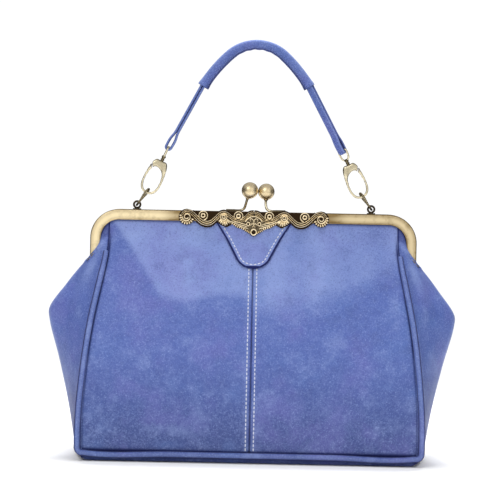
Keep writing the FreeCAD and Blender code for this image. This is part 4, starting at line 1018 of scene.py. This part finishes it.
# a strip folded round the swivel loop: down one side, round the bar and up the other
def makeStrap(name, hand, twist, replaced):
    half = handle["strapSheet"] / 2
    heights = np.array([handle["strapRun"] + handle["strapReach"], *handle["strapHeights"]])
    side = np.stack([-half - np.array([0, *handle["strapSpread"]]), heights], -1)
    arc = handle["loop"] * rays(np.linspace(-np.pi, 0, 24))
    flat = evenly(np.concatenate([side, arc, (side * np.array([-1, 1]))[::-1]]), 190)
    path = upright(flat, 0.0)
    out, across = pathFrame(path, backward)
    w = np.linspace(-1, 1, 13)
    wide = w * handle["strapWidth"] / 2
    crown = half * (1 - 0.5 * np.abs(w) ** 6)
    profile = np.concatenate([np.stack([crown, wide], -1), np.stack([-crown, wide], -1)[::-1]])
    verts, faces = carried(path, out, across, np.broadcast_to(profile, (len(path), len(profile), 2)))
    c, s = rays(np.radians(twist))
    verts = verts @ np.array([[c, s, 0], [-s, c, 0], [0, 0, 1]])
    c, s = rays(np.radians(handle["strapLean"]) * -hand)
    verts = verts @ np.array([[c, 0, -s], [0, 1, 0], [s, 0, c]])
    verts = verts + np.array([hand * handle["bar"][0], handle["depth"], handle["bar"][1]])
    # the face inside the fold painted dark as shade between the layers, less at its edges; painted highlights along the
    # outer face's edges
    edge = np.abs(w)
    dark = np.concatenate([0.75 - 0.55 * smooth(0.8, 1.0, edge), 0.1 * smooth(0.8, 0.97, edge)])
    worn = np.concatenate([0 * w, 0.55 * smooth(0.55, 0.95, edge)])
    putMesh(name, (verts, faces), [blueLeather], "handle", "blue_leather", replaced, sharp=50,
            seam=ringPaint(dark, len(path), 0.6), rub=ringPaint(worn, len(path), 0))


makeStrap("leftHandleStrap", -1, 0.0, ["left_strap"])
makeStrap("rightHandleStrap", 1, handle["twist"], ["right_strap"])
print("handle made")


# snap hooks: an egg-shaped loop with a solid head, the gate on its outer side

hook = {
    "origin": (83.43, 200.82), "lean": 25.0, "middle": 12.0, "armThick": 1.2, "headThick": 1.9, "squareness": 0.7,
    "gateFrom": 118.5, "gateTo": 193.0, "gap": 1.6, "pinGap": 3.0, "count": 230, "gateCount": 90, "sides": 16,
    "outer": ((0, 0), (3.3, 0.7), (5.3, 2.2), (6.9, 5.4), (7.4, 9.0), (7.45, 12.5), (7.2, 16.0), (6.75, 20.0),
              (6.4, 23.0), (5.6, 25.6), (4.6, 27.2), (3.4, 27.9), (2.0, 27.8), (0, 27.6)),
    "inner": ((0, 1.7), (2.6, 2.3), (4.2, 3.7), (5.4, 6.6), (5.8, 10.5), (5.5, 14.5), (4.7, 18.0), (3.5, 19.8),
              (1.6, 21.2), (0, 21.9), (-1.6, 22.1), (-3.0, 21.7), (-4.1, 20.4), (-4.9, 18.3), (-5.55, 14.5),
              (-5.85, 10.5), (-5.4, 6.6), (-4.2, 3.7), (-2.6, 2.3)),
}
hook["outer"] = hook["outer"] + tuple((-x, z) for x, z in hook["outer"][-2:0:-1])  # both sides alike


def hookAxes(hand):  # inward and upward directions of a leaning hook, and its lowest point
    c, s = rays(np.radians(hook["lean"]))
    origin = np.array([hand * hook["origin"][0], handle["depth"], hook["origin"][1]])
    return np.array([-hand * c, 0, -s]), np.array([-hand * s, 0, c]), origin


def roundOutline(places, angle):  # distance from the loop's middle to an outline, for each direction
    places = np.asarray(places, float) - np.array([0, hook["middle"]])
    turn = np.degrees(np.arctan2(places[:, 1], places[:, 0])) % 360
    order = np.argsort(turn)
    return np.interp(angle, turn[order], np.linalg.norm(places, axis=1)[order], period=360)


# rounded section between the two outlines, carried round from one direction to another
def hookStretch(hand, start, end, count):
    inward, upward, origin = hookAxes(hand)
    angle = np.linspace(start, end, count)
    ray = rays(np.radians(angle))
    far = roundOutline(hook["outer"], angle)[:, None]
    near = roundOutline(hook["inner"], angle)[:, None]
    flat = ray * (far + near) / 2 + np.array([0, hook["middle"]])
    thick = mix(hook["armThick"], hook["headThick"], smooth(17, 23, flat[:, 1]))
    ring = rays(circle(hook["sides"]))
    square = np.sign(ring) * np.abs(ring) ** hook["squareness"]
    profile = square[None] * np.stack([(far - near)[:, 0] / 2, thick], -1)[:, None]
    path = origin + flat[:, :1] * inward + flat[:, 1:] * upward
    across = ray[:, :1] * inward + ray[:, 1:] * upward
    part = carried(path, across, np.broadcast_to(backward, path.shape), profile)
    # painted shade at the gate's joints, along the section's edges and towards the head
    ends = np.minimum(angle - angle[0], angle[-1] - angle)
    edges = 0.45 * smooth(0.75, 1.0, np.abs(square[:, 0]))[None]
    head = 0.32 * smooth(19, 26, flat[:, 1])[:, None]
    recess = np.clip(0.9 * smooth(3.0, 0.5, ends)[:, None] + edges + head, 0, 1)
    return part, np.concatenate([recess.ravel(), [1, 1]])


def makeHook(word, hand):
    first, last = hook["gateFrom"], hook["gateTo"]
    for name, body, start, end, count in (
        ("SnapHook", "_hook", last + hook["gap"], first - hook["gap"] + 360, hook["count"]),
        ("HookGate", "_gate", first + hook["pinGap"], last, hook["gateCount"]),
    ):
        part, recess = hookStretch(hand, start, end, count)
        putMesh(word + name, part, [hookBrass], word + body, "bright_brass", [word + body], sharp=50, recess=recess)


# swivel loop: a bent wire through the strap, and the collared neck that turns in the hook's head
swivel = {
    "wire": 0.75, "count": 110, "neckCount": 30,
    "neckHeights": (27.0, 28.6, 29.0, 29.6, 30.2, 31.2, 32.0, 32.5),
    "neckRadii": (1.2, 1.3, 1.7, 1.1, 1.35, 1.75, 1.4, 0.6),
    "loop": ((-3.6, 38.6), (-3.6, 36.4), (-3.5, 34.9), (-3.0, 33.3), (-1.8, 32.0), (0, 31.5), (1.8, 32.0),
             (3.0, 33.3), (3.5, 34.9), (3.6, 36.4), (3.6, 38.6), (2.9, 39.65), (1.5, 39.7), (0, 39.7),
             (-1.5, 39.7), (-2.9, 39.65), (-3.6, 38.6)),
}


def makeSwivel(word, hand, twist):
    inward, upward, origin = hookAxes(hand)
    turn = np.radians(twist)
    across = np.sin(turn) * hand * inward + np.cos(turn) * backward
    flat = evenly(swivel["loop"], swivel["count"])
    path = origin + flat[:, :1] * across + flat[:, 1:] * upward
    wire = tube(path, np.full(swivel["count"], swivel["wire"]), np.cross(across, upward), 12)
    height = np.linspace(swivel["neckHeights"][0], swivel["neckHeights"][-1], swivel["neckCount"])
    neckRadius = np.interp(height, swivel["neckHeights"], swivel["neckRadii"])
    neck = tube(origin + height[:, None] * upward, neckRadius, backward, 18)
    recess = np.concatenate([np.zeros(len(wire[0])), np.full(len(neck[0]), 0.9)])
    putMesh(word + "SwivelLoop", together(wire, neck), [hookBrass], "handle", "bright_brass",
            [word + "_swivel_loop"], recess=recess)


# links: a long ring of twisted wire from the post's eye to the hook, turned about its length towards the top
link = {
    "low": (88.53, 194.12), "high": (83.005, 201.73), "ring": 3.0, "wire": 0.88, "turned": 13.0,
    "strands": 2, "twists": 26, "bite": 0.16, "count": 180, "sides": 14,
}


def makeLink(word, hand):  # two half circles and straight sides, with a section that the strands make wavy
    low, high = (np.array([hand * x, handle["depth"], z]) for x, z in (link["low"], link["high"]))
    along = unit(high - low)
    length = np.linalg.norm(high - low)
    bend = link["ring"] * rays(np.linspace(0, np.pi, 30))
    top = np.array([0, length])
    flat = evenly(np.concatenate([bend + top, -bend, bend[:1] + top]), link["count"] + 1)[:-1]
    turn = np.radians(link["turned"]) * smooth(0.1, 0.9, flat[:, 1:] / length)
    side = np.cos(turn) * backward + np.sin(turn) * np.cross(along, backward) * hand
    ring = low + flat[:, 1:] * along + flat[:, :1] * side
    tangent = unit(np.roll(ring, -1, 0) - np.roll(ring, 1, 0))
    across = unit(np.cross(tangent, np.cross(along, side)))
    out = np.cross(tangent, across)
    phi = circle(link["sides"])[None]
    wave = np.cos(link["strands"] * phi + link["twists"] * circle(link["count"])[:, None])
    radius = (link["wire"] * (1 - link["bite"] + link["bite"] * wave))[..., None]
    rings = ringsAlong(ring, across, out, radius * rays(phi))
    part = rings.reshape(-1, 3), [gridFaces(link["count"], link["sides"], True, True)]
    # darker between the strands, and painted shade where the link's foot sits in the post's eye
    foot = smooth(0.5, -2.5, (ring - low) @ along)[:, None]
    putMesh(word + "TwistedLink", part, [darkBrass], word + "_link", "antique_brass", [word + "_link"],
            recess=np.clip(0.45 - 0.45 * wave + foot, 0, 1))


for word, hand, twist in (("left", -1, 0.0), ("right", 1, handle["twist"])):
    makeHook(word, hand)
    makeSwivel(word, hand, twist)
    makeLink(word, hand)
print("hooks, swivel loops and links made")


# clasp: a flat foot on the frame, bent up into a round stem, and a ball on each stem

stem = {
    "radius": 0.98, "footHalf": 1.6, "footThick": 0.9, "count": 90, "sides": 16,
    "rear": ((-21.5, 3.6, 189.2), (-16.0, 3.6, 189.2), (-10.7, 3.6, 189.25), (-9.0, 3.45, 189.75), (-7.7, 3.1, 190.8),
             (-6.7, 2.2, 193.2), (-5.9, 0.8, 196.2), (-4.9, -0.9, 199.8)),
    "front": ((24.0, -3.6, 189.2), (18.0, -3.6, 189.2), (12.6, -3.6, 189.25), (10.9, -3.45, 189.75), (9.7, -3.1, 190.9),
              (9.0, -2.2, 193.4), (8.85, -0.8, 196.2), (9.0, 0.9, 199.0)),
}
ball = {
    "rear": (-3.5, -2.2, 204.7), "front": (9.1, 2.2, 203.9), "radius": 6.35, "collar": 1.65, "collarOut": 0.6,
    "sides": 48,
}


def makeStem(word):  # an oval section along the line, from the flat foot to the round stem
    path = evenly(stem[word], stem["count"])
    share = np.linspace(0, 1, stem["count"])
    sideways, out = pathFrame(path, backward)
    rounded = smooth(0.36, 0.58, share)
    wide, thick = (mix(stem[key], stem["radius"], rounded) for key in ("footHalf", "footThick"))
    profile = roundProfile(1.0, stem["sides"])[None] * np.stack([thick, wide], -1)[:, None]
    # the dark under the ball is painted shade
    shade = 0.8 * smooth(0.80, 0.88, share) + 0.85 * smooth(0.55, 0.35, share)  # brown foot, and under the ball
    putMesh(word + "ClaspStem", carried(path, sideways, out, profile), [hookBrass], word + "_half", "bright_brass",
            [word + "_clasp_stem"], sharp=50, recess=np.concatenate([np.repeat(shade, stem["sides"]), [0.5, 0.5]]))


def makeBall(word):  # a round ball with a short collar where the stem enters it
    centre = np.array(ball[word])
    down = unit(np.array(stem[word][-1]) - centre)
    turn = np.linspace(-np.pi / 2 + 0.02, np.arccos(ball["collar"] / ball["radius"]), 44)
    collarAlong = ball["radius"] + ball["collarOut"] * np.array([0.0, 0.7, 1.0])
    along = np.concatenate([ball["radius"] * np.sin(turn), collarAlong])
    wide = np.concatenate([ball["radius"] * np.cos(turn), ball["collar"] * np.array([1.0, 1.0, 0.8])])
    part = tube(centre + along[:, None] * down, wide, (1.0, 0.0, 0.2), ball["sides"])
    shade = np.concatenate([0.6 * smooth(0.15, 1.25, turn), [1, 1, 1]])  # browner towards the collar
    putMesh(word + "ClaspBall", part, [ballBrass], word + "_half", "bright_brass", [word + "_clasp_ball"], sharp=50,
            recess=np.concatenate([np.repeat(shade, ball["sides"]), [0, 1]]))


for word in ("rear", "front"):
    makeStem(word)
    makeBall(word)


# finishes of the parts that keep their own shape

plainFinishes = {
    "front_frame": satinBrass, "rear_frame": satinBrass, "left_hinge_rivet": darkBrass, "right_hinge_rivet": darkBrass,
    "left_post": blackBrass, "right_post": blackBrass, "left_gate_pin": springSteel, "right_gate_pin": springSteel,
    "left_gate_spring": springSteel, "right_gate_spring": springSteel, "front_channel_cord": paperCord,
    "rear_channel_cord": paperCord, "grip_core": paperCord, "base_board": boardFibre,
}
for nodeName, finish in plainFinishes.items():
    shown = nodes[nodeName].data
    shown.materials.clear()
    shown.materials.append(finish)
print("clasp and plain parts finished")


# floor, light and camera

floor = {"reach": 900.0, "rings": 61, "sides": 72, "fadeFrom": 420.0, "fadeTo": 860.0}
lamps = {  # place, target, size, power, and whether the brass mirrors it
    "keyLamp": ((-0.8, -1.6, 1.4), (0, 0, 0.17), (0.8, 0.8), 8, True),
    "fillLamp": ((1.3, -1.4, 0.9), (0, 0, 0.15), (0.8, 1.0), 2.5, True),
    "topLamp": ((0.0, -0.35, 1.7), (0, 0, 0.1), (1.3, 0.8), 10, False),
    "backTopLamp": ((0.0, 0.70, 1.70), (0, 0, 0.0), (1.2, 0.5), 30, False),
}
camera = {"aim": (-2.5, -15.0, 159.4), "height": 212.0, "distance": 1850.0, "roll": 1.2, "span": 381.0, "sensor": 36.0}


def makeFloor():  # a pale round sheet under the bag that thins out into the white around it
    radius = np.concatenate([[0.001], np.linspace(20, floor["reach"], floor["rings"] - 1)])[:, None]
    angle = circle(floor["sides"])[None]
    grid = np.stack([radius * np.cos(angle), radius * np.sin(angle), 0 * radius * angle], -1)
    faces = gridFaces(floor["rings"], floor["sides"], wrapCols=True)
    mesh = bpy.data.meshes.new("paleFloor")
    mesh.from_pydata((grid.reshape(-1, 3) * mm).tolist(), [], faces.tolist())
    addPaint(mesh, "far", smooth(floor["fadeFrom"], floor["fadeTo"], radius) + 0 * angle)
    finish, k, place = newFinish("palePaper")
    tone = k.noise(place, 2.0).blend((0.96, 0.96, 0.95), (0.98, 0.98, 0.97))
    useShader(k, {"Base Color": tone, "Roughness": 0.95, "Alpha": 1.0 - own(k, "far")})
    mesh.materials.append(finish)
    sheet = bpy.data.objects.new("paleFloor", mesh)
    bpy.context.collection.objects.link(sheet)


def addLamp(name, place, target, size, power, glossy):
    lamp = bpy.data.lights.new(name, "AREA")
    lamp.shape = "RECTANGLE"
    lamp.size, lamp.size_y = size
    lamp.energy = power
    made = bpy.data.objects.new(name, lamp)
    made.location = place
    made.visible_glossy = glossy
    made.rotation_euler = (Vector(target) - Vector(place)).to_track_quat("-Z", "Y").to_euler()
    bpy.context.collection.objects.link(made)


def makeCamera():
    lens = bpy.data.cameras.new("photoCamera")
    made = bpy.data.objects.new("photoCamera", lens)
    place = Vector((camera["aim"][0], -camera["distance"], camera["height"])) * mm
    sight = Vector(camera["aim"]) * mm - place
    made.location = place
    made.rotation_mode = "QUATERNION"
    made.rotation_quaternion = sight.to_track_quat("-Z", "Y") @ Quaternion((0, 0, 1), math.radians(camera["roll"]))
    lens.sensor_width = camera["sensor"]
    lens.lens = camera["sensor"] * sight.length / (camera["span"] * mm)
    lens.clip_end = 100
    bpy.context.collection.objects.link(made)
    bpy.context.scene.camera = made


def makeSky():  # white behind the bag, and a studio that is bright overhead and in front and dim around
    world = bpy.data.worlds.new("studioSky")
    world.use_nodes = True
    world.node_tree.nodes.clear()
    k = Knob(world.node_tree)
    way = k.node("ShaderNodeTexCoord", {}, {}, "Generated")
    studio = way.axis(2).range(0.10, 0.85).blend((0.05, 0.05, 0.055), (0.60, 0.60, 0.61))
    studio = way.axis(1).range(-0.45, -0.95).blend(studio, (0.95, 0.94, 0.92))
    seen = k.node("ShaderNodeLightPath", {}, {}, "Is Camera Ray")
    sky = k.node("ShaderNodeBackground", {}, {"Color": seen.blend(studio, (1.05, 1.05, 1.05)), "Strength": 1.0})
    k.node("ShaderNodeOutputWorld", {}, {"Surface": sky})
    bpy.context.scene.world = world


makeFloor()
for name, values in lamps.items():
    addLamp(name, *values)
makeCamera()
makeSky()
bpy.context.scene.view_settings.view_transform = "Standard"
print("floor, light and camera made")
